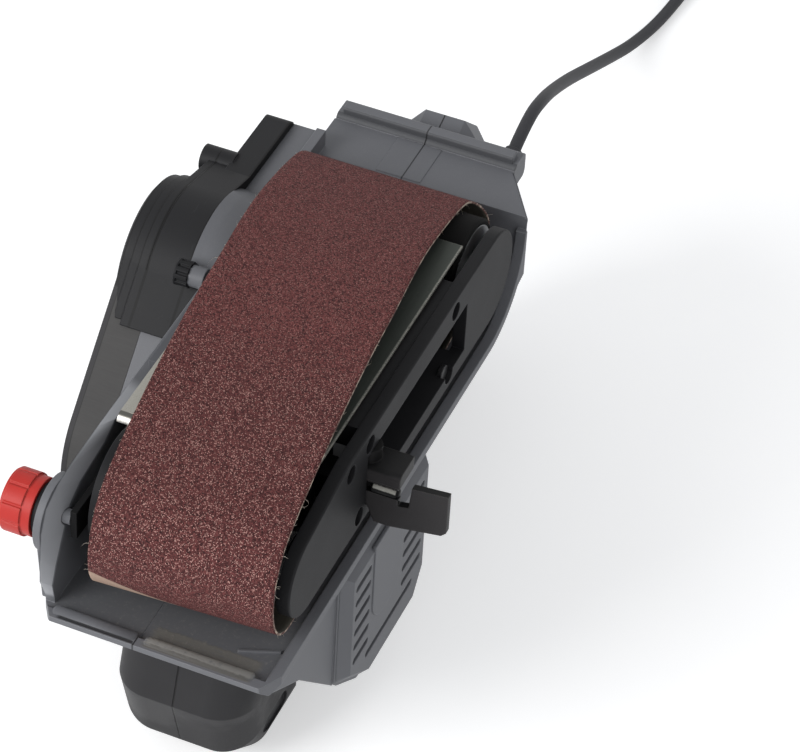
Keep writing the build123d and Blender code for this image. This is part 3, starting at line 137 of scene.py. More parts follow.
class Shade:
    """The node tree of a material or a world, with places in the drawing's millimetres."""

    def __init__(self, name, store="materials"):
        self.owner = getattr(bpy.data, store).new(name)
        self.owner.use_nodes = True
        self.tree = self.owner.node_tree
        self.tree.nodes.clear()

    def node(self, kind, settings=None, inputs=None, output=0):
        """A node with its settings, then the values or links of its sockets."""
        made = self.tree.nodes.new(kind)
        for name, value in (settings or {}).items():
            setattr(made, name, value)
        for name, value in (inputs or {}).items():
            if isinstance(value, Socket):
                self.tree.links.new(value.link, made.inputs[name])
            else:
                made.inputs[name].default_value = value
        return Socket(self, made.outputs[output])

    def place(self):
        """Place in the drawing, as a vector in millimetres."""
        spot = self.node("ShaderNodeTexCoord", output="Object")
        moved = self.node("ShaderNodeVectorMath", {"operation": "SUBTRACT"}, {0: spot, 1: datum})
        return self.node("ShaderNodeVectorMath", {"operation": "SCALE"}, {0: moved, "Scale": 1000.0})

    def belt_place(self):
        """Place on the flat sanding belt, across and along it in millimetres."""
        return self.node("ShaderNodeUVMap", {"uv_map": "belt"})

    def normal(self):
        """The surface's own normal."""
        return self.node("ShaderNodeNewGeometry", output="Normal")

    def seen(self):
        """1 for what the camera sees, also in shiny and through clear faces, and 0 for other rays."""
        rays = self.node("ShaderNodeLightPath", output="Is Camera Ray")
        together = rays
        for kind in ("Is Glossy Ray", "Is Transmission Ray"):
            together = together.larger(Socket(self, rays.link.node.outputs[kind]))
        return together

    def parts(self, vector):
        """The three numbers of a vector."""
        split = self.node("ShaderNodeSeparateXYZ", {}, {0: vector})
        outputs = split.link.node.outputs
        return [Socket(self, outputs[number]) for number in range(3)]

    def noise(self, where, turns, detail=3.0, stretch=(1, 1, 1), rough=0.55):
        """Noise from 0 to 1, by turns a unit of where."""
        spread = self.node("ShaderNodeMapping", {}, {"Vector": where, "Scale": stretch})
        values = {"Vector": spread, "Scale": turns, "Detail": detail, "Roughness": rough}
        return self.node("ShaderNodeTexNoise", {}, values)

    def cells(self, where, turns):
        """Random tone of each grain of a crowd of grains, and the distance from its middle."""
        values = {"Vector": where, "Scale": turns}
        tone = self.node("ShaderNodeTexVoronoi", {}, values, output="Color")
        reach = Socket(self, tone.link.node.outputs["Distance"])
        return self.parts(tone)[0], reach

    def step(self, value, low, high):
        """Smooth rise from 0 at low to 1 at high."""
        values = {"Value": value, "From Min": low, "From Max": high}
        return self.node("ShaderNodeMapRange", {"interpolation_type": "SMOOTHSTEP"}, values)

    def band(self, value, low, high, soft):
        """1 between low and high, with soft ends."""
        return self.step(value, low - soft, low) * (1 - self.step(value, high, high + soft))

    def lines(self, value, places, half):
        """Thin lines where the value passes any of the places."""
        marks = [1 - self.step(abs(value - spot), half * 0.5, half) for spot in places]
        together = marks[0]
        for mark in marks[1:]:
            together = together.larger(mark)
        return together

    def mix(self, factor, first, second):
        """Mix of two colours."""
        settings = {"data_type": "RGBA", "blend_type": "MIX"}
        return self.node("ShaderNodeMix", settings, {0: factor, 6: first, 7: second}, output=2)

    def edges(self, radius):
        """Normal with rounded edges, and a mask of the edges themselves."""
        rounded = self.node("ShaderNodeBevel", {"samples": 6}, {"Radius": radius})
        normals = {0: rounded, 1: self.normal()}
        same = self.node("ShaderNodeVectorMath", {"operation": "DOT_PRODUCT"}, normals, "Value")
        return rounded, self.step(1 - same, 0.02, 0.22)

    def bump(self, height, distance, normal=None):
        """Normal of a height that rises by a distance in metres."""
        values = {"Height": height, "Strength": 1.0, "Distance": distance}
        if normal:
            values["Normal"] = normal
        return self.node("ShaderNodeBump", {}, values)

    def finish(self, colour, roughness, normal, **constants):
        """Principled shader to the output."""
        inputs = {"Base Color": colour, "Roughness": roughness, "Normal": normal}
        for name, value in constants.items():
            inputs[name.replace("_", " ").title().replace("Ior", "IOR")] = value
        return self.show(self.node("ShaderNodeBsdfPrincipled", {}, inputs))

    def show(self, surface, ending="ShaderNodeOutputMaterial"):
        """Lead a surface to the output, and give back the material or world."""
        made = self.tree.nodes.new(ending)
        self.tree.links.new(surface.link, made.inputs["Surface"])
        return self.owner


def rgb(red, green, blue):
    """Colour as seen on a screen, 0 to 255, in linear light."""
    return tuple(((v / 255 + 0.055) / 1.055) ** 2.4 for v in (red, green, blue)) + (1.0,)


# Finishes


def moulded(name, dark, light, worn, rough, grain=2.4, deep=0.00003, gloss=0.3, creases=()):
    """Moulded plastic or rubber: sparked grain, faint clouds, edges lightened as wear and painted highlight,
    scuffs, and dark creases as parting lines and painted shade in steps.
    """
    shade = Shade(name)
    where = shade.place()
    cloud = shade.noise(where, 0.03, 4)
    speck = shade.noise(where, grain, 2)
    rounded, edge_wear_and_highlight = shade.edges(0.0006)
    scuff = shade.step(shade.noise(where, 0.9, 5, (0.12, 1.0, 0.5)), 0.62, 0.74)
    tone = shade.mix(cloud * 0.65 + speck * 0.35, dark, light)
    # Edges lightened by the worn tone: partly wear, partly a painted highlight; the scuffs are wear
    tone = shade.mix(edge_wear_and_highlight * (0.25 + 0.4 * speck) + scuff * 0.1, tone, worn)
    # Dark lines: parting lines, and painted shade in the steps beside them
    if creases:
        tone = shade.mix(shade.lines(shade.parts(where)[1], creases, 0.8) * 0.9, tone, rgb(8, 8, 9))
    roughness = rough - 0.08 + 0.12 * cloud + 0.1 * speck - 0.12 * edge_wear_and_highlight
    return shade.finish(tone, roughness, shade.bump(speck, deep, rounded), specular_ior_level=gloss)


def metal(name, dark, light, rough, stretch=(1, 1, 1)):
    """Bare metal with tool marks, dull patches and bright edges, worn bare and painted highlight."""
    shade = Shade(name)
    where = shade.place()
    marks = shade.noise(where, 1.6, 3, stretch)
    dull = shade.step(shade.noise(where, 0.05, 5), 0.42, 0.7)
    rounded, edge_wear_and_highlight = shade.edges(0.0004)
    tone = shade.mix(marks * (1 - 0.35 * dull), dark, light)
    # Bright edges: wear and a painted highlight
    tone = shade.mix(edge_wear_and_highlight * 0.6, tone, light)
    roughness = rough + 0.14 * marks + 0.16 * dull - 0.1 * edge_wear_and_highlight
    return shade.finish(tone, roughness, shade.bump(marks, 0.00002, rounded), metallic=1.0)


def painted_steel():
    """Black painted sheet steel, glossier than the mouldings, with paint worn thin along its bends and a
    painted highlight there.
    """
    shade = Shade("black painted steel")
    where = shade.place()
    orange_peel = shade.noise(where, 0.9, 2)
    cloud = shade.noise(where, 0.08, 4)
    rounded, edge_wear_and_highlight = shade.edges(0.0009)
    chip = shade.step(shade.noise(where, 0.7, 4), 0.55, 0.68)
    tone = shade.mix(cloud, rgb(20, 20, 22), rgb(36, 35, 37))
    # Lighter along the bends and chips: wear, and a painted highlight along the edges
    tone = shade.mix(edge_wear_and_highlight * (0.06 + 0.3 * chip), tone, rgb(150, 148, 144))
    roughness = 0.36 + 0.14 * cloud + 0.1 * chip
    return shade.finish(tone, roughness, shade.bump(orange_peel, 0.00004, rounded), specular_ior_level=0.35)


def housing_grey():
    """Grey housing moulding with its parting line, sanding dust along the lip, painted shade in the tray,
    painted light on the left wall's top, and edges lightened as wear and painted highlight.
    """
    tray_x = (-30.0, lip_x - 7.5)
    tray_y = (-45.0, 45.0)
    tray_z = (rim_z - 5.0, rim_z + 1.5)
    wall_x = (126.0, 203.0)
    wall_y = (-49.2, -45.9)
    foot_x = (-76.6, -73.9)
    foot_z = -17.2
    dust_y = (seam_y + 5.0, 38.0)
    groove_left_y = -41.0
    shade = Shade("housing grey")
    where = shade.place()
    x, y, z = shade.parts(where)
    cloud = shade.noise(where, 0.025, 4)
    speck = shade.noise(where, 2.2, 2)
    mottle = shade.noise(where, 0.5, 5)
    rounded, edge_wear_and_highlight = shade.edges(0.0007)
    facing = shade.parts(shade.normal())[2]
    tone = shade.mix(cloud * 0.6 + speck * 0.4, rgb(88, 89, 93), rgb(110, 111, 115))
    # Edges lightened: wear and a painted highlight
    tone = shade.mix(edge_wear_and_highlight * (0.2 + 0.4 * speck), tone, rgb(150, 151, 155))
    # Tray: painted shade, a little darker under the belt
    tray = shade.band(x, *tray_x, 1.5) * shade.band(y, *tray_y, 1.0) * shade.band(z, *tray_z, 1.0)
    tray = tray * shade.step(facing, 0.2, 0.6)
    tone = shade.mix(tray * (0.3 + 0.4 * cloud), tone, rgb(74, 75, 77))
    # Top of the left wall: painted light, made pale as if well lit
    wall = shade.band(y, *wall_y, 0.2) * shade.band(x, *wall_x, 8.0) * shade.step(z, rim_z - 0.5, rim_z + 2.5)
    tone = shade.mix(wall * 0.9, tone, shade.mix(cloud, rgb(150, 151, 155), rgb(176, 177, 181)))
    # Shaded foot of the rear bar
    foot = shade.band(x, *foot_x, 0.2) * shade.step(z, foot_z - 0.3, foot_z)
    tone = shade.mix(foot * 0.8, tone, rgb(62, 63, 66))
    # Dust right of the parting line: a pale strip along the lip's bead and a brown one behind it
    streak = shade.noise(where, 1.0, 4, (1.3, 0.05, 0.6))
    wander = x + 1.5 * (mottle - 0.5) + 1.2 * (streak - 0.5)
    low = shade.band(z, rim_z - 4.5, rim_z + 2.5, 0.5) * shade.band(y + 5.0 * (streak - 0.5), *dust_y, 3.0)
    pale = shade.band(wander, lip_x - 7.0, lip_x - 3.6, 0.9) * low * shade.step(mottle, 0.1, 0.5)
    before = shade.band(x, lip_x - 3.2, lip_x - 1.4, 0.4)
    brown = shade.band(wander, lip_x - 14.5, lip_x - 6.2, 1.2).larger(before)
    brown = brown * low * shade.step(streak * 0.6 + mottle * 0.4, 0.2, 0.52)
    tone = shade.mix(brown * 0.8, tone, rgb(96, 93, 87))
    tone = shade.mix(pale * (0.5 + 0.4 * streak), tone, rgb(150, 147, 140))
    film = shade.step(mottle, 0.5, 0.75) * shade.step(facing, 0.3, 0.9) * shade.step(speck, 0.35, 0.7)
    tone = shade.mix(film * (0.08 + 0.2 * tray), tone, rgb(146, 143, 136))
    # Parting line, faint inside the tray, and the lip's groove left of it
    seam = shade.lines(y, (seam_y,), 0.34) * (1 - 0.9 * tray)
    groove = shade.band(x, lip_x - 1.9, lip_x - 0.9, 0.3) * shade.step(z, rim_z - 0.4, rim_z - 0.2)
    groove = groove * (1 - shade.step(y, seam_y - 1.0, seam_y))
    groove = groove * shade.step(y, groove_left_y, groove_left_y + 2.0)
    cut = seam.larger(groove)
    tone = shade.mix(cut * 0.85, tone, rgb(30, 30, 32))
    dusty = pale.larger(brown)
    roughness = 0.44 + 0.1 * cloud + 0.12 * speck + 0.25 * dusty - 0.12 * edge_wear_and_highlight
    height = speck * 0.06 - cut + dusty * mottle * 0.4
    return shade.finish(tone, roughness, shade.bump(height, 0.0004, rounded), specular_ior_level=0.4)


def soft_grip():
    """Charcoal soft overmoulding of the front handle, with its parting line."""
    shade = Shade("soft grip")
    where = shade.place()
    y = shade.parts(where)[1]
    cloud = shade.noise(where, 0.04, 4)
    grain = shade.noise(where, 1.5, 3)
    rounded, edge_wear_and_highlight = shade.edges(0.001)
    polish = shade.step(shade.noise(where, 0.05, 3, (1, 0.6, 1)), 0.45, 0.65)
    tone = shade.mix(cloud * 0.6 + grain * 0.4, rgb(27, 27, 29), rgb(43, 42, 44))
    # Edges lightened: wear and a painted highlight
    tone = shade.mix(edge_wear_and_highlight * 0.3, tone, rgb(84, 84, 87))
    seam = shade.lines(y, (seam_y,), 0.42)
    tone = shade.mix(seam * 0.85, tone, rgb(12, 12, 13))
    roughness = 0.52 + 0.14 * grain - 0.12 * polish
    normal = shade.bump(grain * 0.08 - seam, 0.0005, rounded)
    return shade.finish(tone, roughness, normal, specular_ior_level=0.3)


def drive_cover_finish():
    """Cover of the drive: black stepped drum, grey arm with fine machining lines, a dark outer edge strip of
    painted shade, and dark lines at its parting line and in the drum's steps.
    """
    lug_out_x = -15.0
    edge_strip_y = -87.2
    hatch_x = 0.676
    hatch_z = -0.737
    shade = Shade("drive cover")
    where = shade.place()
    x, y, z = shade.parts(where)
    out_x = x - drum_x
    out_z = z - drum_z
    reach = out_x * out_x + out_z * out_z
    drum = 1 - shade.step(reach, drum_r**2, (drum_r + 0.6) ** 2)
    lug = 1 - shade.step(out_x, lug_out_x - 1.0, lug_out_x)
    # Edge strip: painted shade, darker like a chamfer turned away from the light
    edge_strip = 1 - shade.step(y, edge_strip_y - 0.4, edge_strip_y)
    along = out_x * hatch_x + out_z * hatch_z
    hatch = shade.node("ShaderNodeCombineXYZ", {}, {0: along, 1: y * 0.06, 2: 0.0})
    streak = shade.noise(hatch, 1.2, 4, rough=0.7)
    cloud = shade.noise(where, 0.03, 4)
    speck = shade.noise(where, 2.4, 2)
    rounded, edge_wear_and_highlight = shade.edges(0.0007)
    arm_tone = shade.mix(streak * 0.55 + cloud * 0.45, rgb(50, 49, 49), rgb(79, 78, 77))
    drum_tone = shade.mix(cloud * 0.6 + speck * 0.4, rgb(22, 22, 24), rgb(35, 35, 37))
    strip_tone = shade.mix(speck, rgb(44, 43, 45), rgb(58, 57, 59))
    tone = shade.mix(edge_strip, arm_tone, strip_tone)
    tone = shade.mix(drum.larger(lug), tone, drum_tone)
    # Edges lightened: wear and a painted highlight
    tone = shade.mix(edge_wear_and_highlight * 0.25, tone, rgb(92, 92, 95))
    # Dark lines: the parting line, painted shade in the steps of the rings, and a line of painted shade along
    # the edge strip
    creases = shade.lines(y, ring_y, 0.6) * drum
    creases = creases.larger(shade.lines(y, (edge_strip_y,), 0.3) * (1 - drum) * 0.7)
    tone = shade.mix(creases * 0.85, tone, rgb(10, 10, 11))
    roughness = 0.44 + 0.14 * speck + 0.1 * streak
    normal = shade.bump(speck * 0.5 + streak * 0.5 * (1 - drum), 0.00004, rounded)
    return shade.finish(tone, roughness, normal, specular_ior_level=0.22)


def frame_finish():
    """Black roller frame, its ledge beside the left wall moulded in the housing's grey."""
    ledge_y = -40.6
    ledge_z = -14.0
    shade = Shade("roller frame")
    where = shade.place()
    _, y, z = shade.parts(where)
    cloud = shade.noise(where, 0.03, 4)
    speck = shade.noise(where, 2.4, 2)
    rounded, edge_wear_and_highlight = shade.edges(0.0006)
    tone = shade.mix(cloud * 0.65 + speck * 0.35, rgb(18, 18, 20), rgb(31, 31, 33))
    # Edges lightened: wear and a painted highlight
    tone = shade.mix(edge_wear_and_highlight * (0.25 + 0.4 * speck), tone, rgb(70, 70, 73))
    ledge = (1 - shade.step(y, ledge_y - 0.4, ledge_y)) * shade.step(z, ledge_z - 2.0, ledge_z)
    tone = shade.mix(ledge, tone, shade.mix(cloud, rgb(82, 83, 87), rgb(98, 99, 103)))
    roughness = 0.45 + 0.12 * cloud + 0.1 * speck - 0.12 * edge_wear_and_highlight
    return shade.finish(tone, roughness, shade.bump(speck, 0.00003, rounded), specular_ior_level=0.16)


def lever_finish():
    """Black painted lever: satin tab, painted shade darkening its top and its right, and black round its pin.
    """
    hub_r = 5.2
    shade = Shade("lever paint")
    where = shade.place()
    x, y, _ = shade.parts(where)
    peel = shade.noise(where, 0.9, 2)
    cloud = shade.noise(where, 0.08, 4)
    rounded, edge_wear_and_highlight = shade.edges(0.0008)
    _, to_right, up = shade.parts(shade.normal())
    tone = shade.mix(cloud, rgb(40, 38, 39), rgb(54, 52, 53))
    # Painted shade: faces turned up or to the right darkened
    tone = shade.mix(shade.step(up.larger(to_right), 0.4, 0.8), tone, rgb(16, 16, 17))
    # Edges lightened: wear and a painted highlight
    tone = shade.mix(edge_wear_and_highlight * 0.2, tone, rgb(120, 118, 116))
    out_x = x - lever_pin.x
    out_y = y - lever_pin.y
    hub = 1 - shade.step(out_x * out_x + out_y * out_y, hub_r**2, (hub_r + 0.4) ** 2)
    tone = shade.mix(hub * 0.9, tone, rgb(8, 8, 9))
    roughness = 0.4 + 0.14 * cloud + 0.2 * hub
    return shade.finish(tone, roughness, shade.bump(peel, 0.00004, rounded), specular_ior_level=0.2)


def bar_finish():
    """Black rolled bar of the lever with a painted highlight: a bright streak along its upper front."""
    highlight_y = (bar_left_y + 1.5, bar_right_y - 1.2)
    highlight_z = (bar_z + 1.1, bar_z + 2.0)
    shade = Shade("lever bar")
    where = shade.place()
    _, y, z = shade.parts(where)
    rub = shade.noise(where, 1.2, 3)
    # Painted highlight: a bright streak along the upper front
    streak = shade.band(z + 0.4 * (rub - 0.5), *highlight_z, 0.35) * shade.band(y, *highlight_y, 0.5)
    tone = shade.mix(streak, rgb(11, 11, 12), shade.mix(rub, rgb(140, 138, 131), rgb(188, 186, 178)))
    return shade.finish(tone, 0.5 - 0.2 * streak, shade.bump(rub, 0.00003), specular_ior_level=0.12)


def platen_wear_and_light():
    """Steel sole plate: dark graphite where the belt covers it, bare along its rims and bent front edge, the
    bend painted near white as a highlight with a painted shadow just behind it.
    """
    bare_left_y = -19.0
    bend_x = 150.0
    shade = Shade("platen wear and painted light")
    where = shade.place()
    x, y, _ = shade.parts(where)
    rub = shade.noise(where, 0.5, 5, (0.05, 1.0, 1.0), 0.7)
    patch = shade.noise(where, 0.06, 5)
    speck = shade.noise(where, 1.4, 3)
    rounded, edge_wear_and_highlight = shade.edges(0.0005)
    dark = shade.mix(rub * 0.6 + patch * 0.4, rgb(50, 54, 51), rgb(80, 84, 79))
    bare = shade.mix(rub * 0.4 + speck * 0.6, rgb(140, 137, 129), rgb(188, 186, 178))
    left = 1 - shade.step(y + 9.0 * patch, bare_left_y - 14.0, bare_left_y)
    rim = shade.step(abs(y), platen_right_y - 1.0, platen_right_y - 0.4) * shade.step(speck, 0.3, 0.5)
    # Bare steel on the left, along the rims and at the edges; at the edges partly a painted highlight
    tone = shade.mix((left * 0.9).larger(rim * 0.6).larger(edge_wear_and_highlight * 0.4), dark, bare)
    pit = shade.step(shade.noise(where, 0.45, 3), 0.66, 0.7)
    tone = shade.mix(pit * 0.5, tone, rgb(84, 82, 76))
    # Bent front edge: bare steel, its near white tone a painted highlight
    bend = shade.step(x, bend_x - 1.0, bend_x)
    tone = shade.mix(bend, tone, rgb(236, 234, 228))
    # Painted shadow: a dark band just behind the bend
    tone = shade.mix(shade.band(x, bend_x - 2.8, bend_x - 1.2, 0.5) * 0.75, tone, rgb(40, 42, 40))
    roughness = 0.42 + 0.2 * rub - 0.25 * bend
    return shade.finish(tone, roughness, shade.bump(rub, 0.00003, rounded), metallic=0.7)


def cork_board():
    """Pressed cork between the platen and its frame: crumbs of several browns with dark gaps."""
    shade = Shade("pressed cork")
    where = shade.place()
    tone, reach = shade.cells(where, 0.8)
    colour = shade.mix(tone, rgb(96, 70, 48), rgb(166, 130, 94))
    colour = shade.mix(shade.step(reach, 0.45, 0.8) * 0.7, colour, rgb(52, 36, 26))
    return shade.finish(colour, 0.75 + 0.2 * tone, shade.bump(0.6 - reach, 0.0002))


def wound_wire():
    """Lacquered copper: fine turns side by side across the axle."""
    shade = Shade("wound copper")
    where = shade.place()
    turns = shade.noise(where, 1.2, 2, (0.1, 3.0, 0.1))
    cloud = shade.noise(where, 0.1, 3)
    colour = shade.mix(turns * 0.7 + cloud * 0.3, rgb(112, 58, 28), rgb(196, 124, 74))
    return shade.finish(colour, 0.3 + 0.2 * cloud, shade.bump(turns, 0.0002), metallic=0.8)


# A finish for each slot of the record, then those of single nodes
finishes = {
    "grey_plastic": housing_grey(),
    "black_plastic": moulded(
        "black moulding", rgb(18, 18, 20), rgb(31, 31, 33), rgb(70, 70, 73), rough=0.52, gloss=0.16
    ),
    "soft_grip": soft_grip(),
    "cover_plastic": drive_cover_finish(),
    "red_plastic": moulded(
        "red knob", rgb(164, 32, 27), rgb(198, 50, 41), rgb(222, 112, 100), rough=0.46, gloss=0.35
    ),
    "platen_steel": platen_wear_and_light(),
    "steel": metal("turned steel", rgb(120, 120, 122), rgb(196, 196, 198), 0.22, (0.2, 1.0, 0.2)),
    "dark_steel": painted_steel(),
    "aluminium": metal("cast aluminium", rgb(140, 141, 143), rgb(198, 199, 201), 0.34),
    "rubber": moulded(
        "tyre rubber", rgb(22, 22, 22), rgb(38, 37, 36), rgb(80, 76, 70), rough=0.68, grain=1.6, deep=0.00008
    ),
    "copper": wound_wire(),
    "cord_rubber": moulded(
        "cord sheath",
        rgb(52, 52, 55),
        rgb(70, 70, 73),
        rgb(96, 96, 99),
        rough=0.55,
        grain=1.1,
        deep=0.00002,
        gloss=0.2,
    ),
    "cork": cork_board(),
    "abrasive": moulded("belt core", rgb(70, 38, 40), rgb(104, 66, 64), rgb(150, 120, 110), rough=0.8),
}
own_finishes = {
    "drive_case": moulded(
        "drive case",
        rgb(22, 22, 24),
        rgb(35, 35, 37),
        rgb(78, 78, 81),
        rough=0.5,
        gloss=0.2,
        creases=(-77.4, -60.3),
    ),
    "tension_lever": lever_finish(),
    "tracking_screw": moulded(
        "zinc grey screw", rgb(112, 113, 117), rgb(140, 141, 145), rgb(160, 160, 162), rough=0.5
    ),
    "roller_frame": frame_finish(),
    "roller_yoke": moulded(
        "shaded yoke", rgb(12, 12, 13), rgb(22, 22, 23), rgb(40, 40, 41), rough=0.6, gloss=0.1
    ),
    # Tyre darker than the other rubber: painted shade inside the belt loop
    "roller_tyre": moulded(
        "tyre darkened as painted shade",
        rgb(12, 12, 12),
        rgb(22, 21, 21),
        rgb(44, 42, 40),
        rough=0.75,
        grain=1.6,
        deep=0.00008,
        gloss=0.1,
    ),
    # Bearings darker than the turned steel
    "drive_roller_bearings": metal("dark bearing", rgb(40, 40, 41), rgb(92, 91, 89), 0.4),
}
for part in frame["record"]["subparts"]:
    node = nodes[part["node"]]
    node.data.materials.clear()
    node.data.materials.append(own_finishes.get(part["node"], finishes[part["material_slot"]]))


# How pieces are made


def piece(name, mesh, body, slot, *materials):
    """New piece from a bmesh, riding on a body."""
    data = bpy.data.meshes.new(name)
    mesh.to_mesh(data)
    mesh.free()
    made = bpy.data.objects.new(name, data)
    scene.collection.objects.link(made)
    for material in materials or (finishes[slot],):
        data.materials.append(material)
    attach(made, body)
    return made


def to_frame(mesh):
    """Set a mesh drawn in millimetres on the row's frame."""
    bmesh.ops.scale(mesh, vec=(0.001, 0.001, 0.001), verts=mesh.verts)
    bmesh.ops.translate(mesh, vec=datum, verts=mesh.verts)
    return mesh


def grow(mesh, face):
    """Extrude a face in its own place: the new vertices, ready to be moved, and the new face."""
    grown = bmesh.ops.extrude_face_region(mesh, geom=[face])["geom"]
    fresh = [item for item in grown if isinstance(item, bmesh.types.BMVert)]
    return fresh, next(item for item in grown if isinstance(item, bmesh.types.BMFace))


def round_off(mesh, edges, offset, segments):
    """Bevel some edges round."""
    bmesh.ops.bevel(
        mesh,
        geom=edges,
        offset=offset,
        offset_type="OFFSET",
        affect="EDGES",
        segments=segments,
        profile=0.5,
        material=-1,
    )


# Cord: the free stretch, the tied coil and the plug's tail on one spline

cord_points = [
    (-161.9, 2.0, -79.8),
    (-178.7, 2.0, -72.2),
    (-201.0, 0.8, floor_z + 90.5),
    (-226.0, -3.0, floor_z + 77.0),
    (-262.0, -7.5, floor_z + 57.0),
    (-300.0, -10.0, floor_z + 36.5),
    (-336.0, -10.6, floor_z + 19.0),
    (-364.0, -9.4, floor_z + 7.5),
    (-392.0, -5.4, floor_z + 3.4),
    (-418.0, -2.6, floor_z + 3.9),
    (-440.0, -1.2, floor_z + 4.5),
    (-455.0, -1.2, floor_z + 4.5),
    (-461.0, -1.2, floor_z + 4.5),
]
coil_step = 6.7
coil_outer_r = 46.4
coil_half_turns = 15
lower_half_turns = 8
arc_points = 8
plug_tail = 6
spot = Vector(cord_points[-1])
for half_turn in range(coil_half_turns):
    inner = half_turn if half_turn < lower_half_turns else coil_half_turns - 1 - half_turn
    radius = coil_outer_r - inner * coil_step / 2
    side = radius if half_turn % 2 else -radius
    rise = coil_step if half_turn == lower_half_turns - 1 else 0
    for number in range(1, arc_points + 1):
        angle = pi * number / arc_points
        swell = 1 / cos(pi / arc_points / 2) if number < arc_points else 1
        cord_points.append((
            spot.x + side * sin(angle) * swell,
            spot.y + side - side * cos(angle) * swell,
            spot.z + rise * number / arc_points,
        ))
    spot = Vector((spot.x, spot.y + 2 * side, spot.z + rise))
cord_points.append((spot.x + plug_tail, spot.y, spot.z))

curve = bpy.data.curves.new("mains_cord", "CURVE")
curve.dimensions = "3D"
curve.bevel_depth = 0.003
curve.bevel_resolution = 5
curve.use_fill_caps = True
spline = curve.splines.new("NURBS")
spline.points.add(len(cord_points) - 1)
for point, where in zip(spline.points, cord_points):
    point.co = (*at(*where), 1)
spline.order_u = 3
spline.use_endpoint_u = True
spline.resolution_u = 6
mains_cord = bpy.data.objects.new("mains_cord", curve)
scene.collection.objects.link(mains_cord)
curve.materials.append(finishes["cord_rubber"])
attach(mains_cord, "machine")
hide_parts("cord", "cord_coil")

# Sanding belt: cloth strip led round its slack loop, grit outside

belt_width = 75.0
belt_length = 533.0
belt_r = 24.9
belt_bow = radians(19.3)
belt_skew = radians(3.65)
belt_axis_z = -24.8
belt_rear_x = -17.9
belt_span = (belt_length - 2 * pi * belt_r) / (1 + belt_bow / sin(belt_bow))
belt_front_x = belt_rear_x + belt_span
belt_middle_x = (belt_rear_x + belt_front_x) / 2
bow_r = (belt_span / 2 + belt_r * sin(belt_bow)) / sin(belt_bow)
bow_middle = (belt_middle_x, belt_axis_z + belt_r * cos(belt_bow) - bow_r * cos(belt_bow))
end_turn = pi - belt_bow
# Runs of the loop: length, turn, steps and the middle of the turn
belt_runs = [
    (belt_span, 0.0, 24, None),
    (belt_r * end_turn, end_turn, 44, (belt_front_x, belt_axis_z)),
    (2 * bow_r * belt_bow, 2 * belt_bow, 72, bow_middle),
    (belt_r * end_turn, end_turn, 44, (belt_rear_x, belt_axis_z)),
]
# How the slack loop leaves the even one: where each change begins, over what length, and how far it goes
front_from_x = 110.0
front_over = 80.0
front_forward = 1.0
front_left_forward = 4.5
front_sunk = 4.0
rear_from_x = 75.0
rear_over = 60.0
rear_top_left = 2.0
rear_under_right = 6.5
under_from_z = 2.0
under_over = 24.0
# The slanting joint and the loose threads
joint_along = belt_span + 30.5
joint_slant = 0.28
joint_width = 15.0
thread_r = 0.12
thread_taper = 0.85
thread_steps = 5
short_threads = 170


def belt_strip():
    """One row of cloth drawn along the loop, with a UV of millimetres across and along."""
    mesh = bmesh.new()
    columns = 40
    row = [
        mesh.verts.new((belt_rear_x, belt_width * (number / columns - 0.5), belt_axis_z - belt_r))
        for number in range(columns + 1)
    ]
    front_edges = [mesh.edges.new(pair) for pair in zip(row, row[1:])]
    flat = mesh.loops.layers.uv.new("belt")
    travelled = 0.0
    for length, turned, steps, middle in belt_runs:
        for _ in range(steps):
            grown = bmesh.ops.extrude_edge_only(mesh, edges=front_edges)["geom"]
            fresh = {item for item in grown if isinstance(item, bmesh.types.BMVert)}
            front_edges = [
                item
                for item in grown
                if isinstance(item, bmesh.types.BMEdge) and all(vert in fresh for vert in item.verts)
            ]
            if middle:
                spin = Matrix.Rotation(-turned / steps, 3, "Y")
                bmesh.ops.rotate(mesh, cent=(middle[0], 0, middle[1]), matrix=spin, verts=list(fresh))
            else:
                bmesh.ops.translate(mesh, vec=(length / steps, 0, 0), verts=list(fresh))
            for face in (item for item in grown if isinstance(item, bmesh.types.BMFace)):
                for loop in face.loops:
                    reached = travelled + (length / steps if loop.vert in fresh else 0.0)
                    loop[flat].uv = (loop.vert.co.y + belt_width / 2, reached)
            travelled += length / steps
    bmesh.ops.remove_doubles(mesh, verts=mesh.verts, dist=0.01)
    bmesh.ops.recalc_face_normals(mesh, faces=mesh.faces)
    return mesh


def ease(value):
    """Smooth rise from 0 at 0 to 1 at 1."""
    held = min(max(value, 0.0), 1.0)
    return held * held * (3 - 2 * held)


def slack(spot):
    """Where a point of the even loop lies on the slack one.

    The front is carried right and sinks at its turn. The rear is drawn right again as it turns under.
    """
    front = ease((spot.x - front_from_x) / front_over)
    rear = ease((rear_from_x - spot.x) / rear_over)
    low = ease((belt_axis_z + belt_r - spot.z) / (2 * belt_r))
    under = ease((under_from_z - spot.z) / under_over)
    forward = front * (front_forward + front_left_forward * low * (0.5 - spot.y / belt_width))
    carried = tan(belt_skew) * (spot.x - belt_middle_x)
    drawn = rear * (rear_under_right * under - rear_top_left)
    return Vector((spot.x + forward, spot.y + carried + drawn, spot.z - front_sunk * front * low))


def to_belt_place(mesh):
    """Lay a mesh drawn on the even loop, in millimetres, on the slack loop and set it on the row's frame."""
    for vert in mesh.verts:
        vert.co = slack(vert.co)
    return to_frame(mesh)


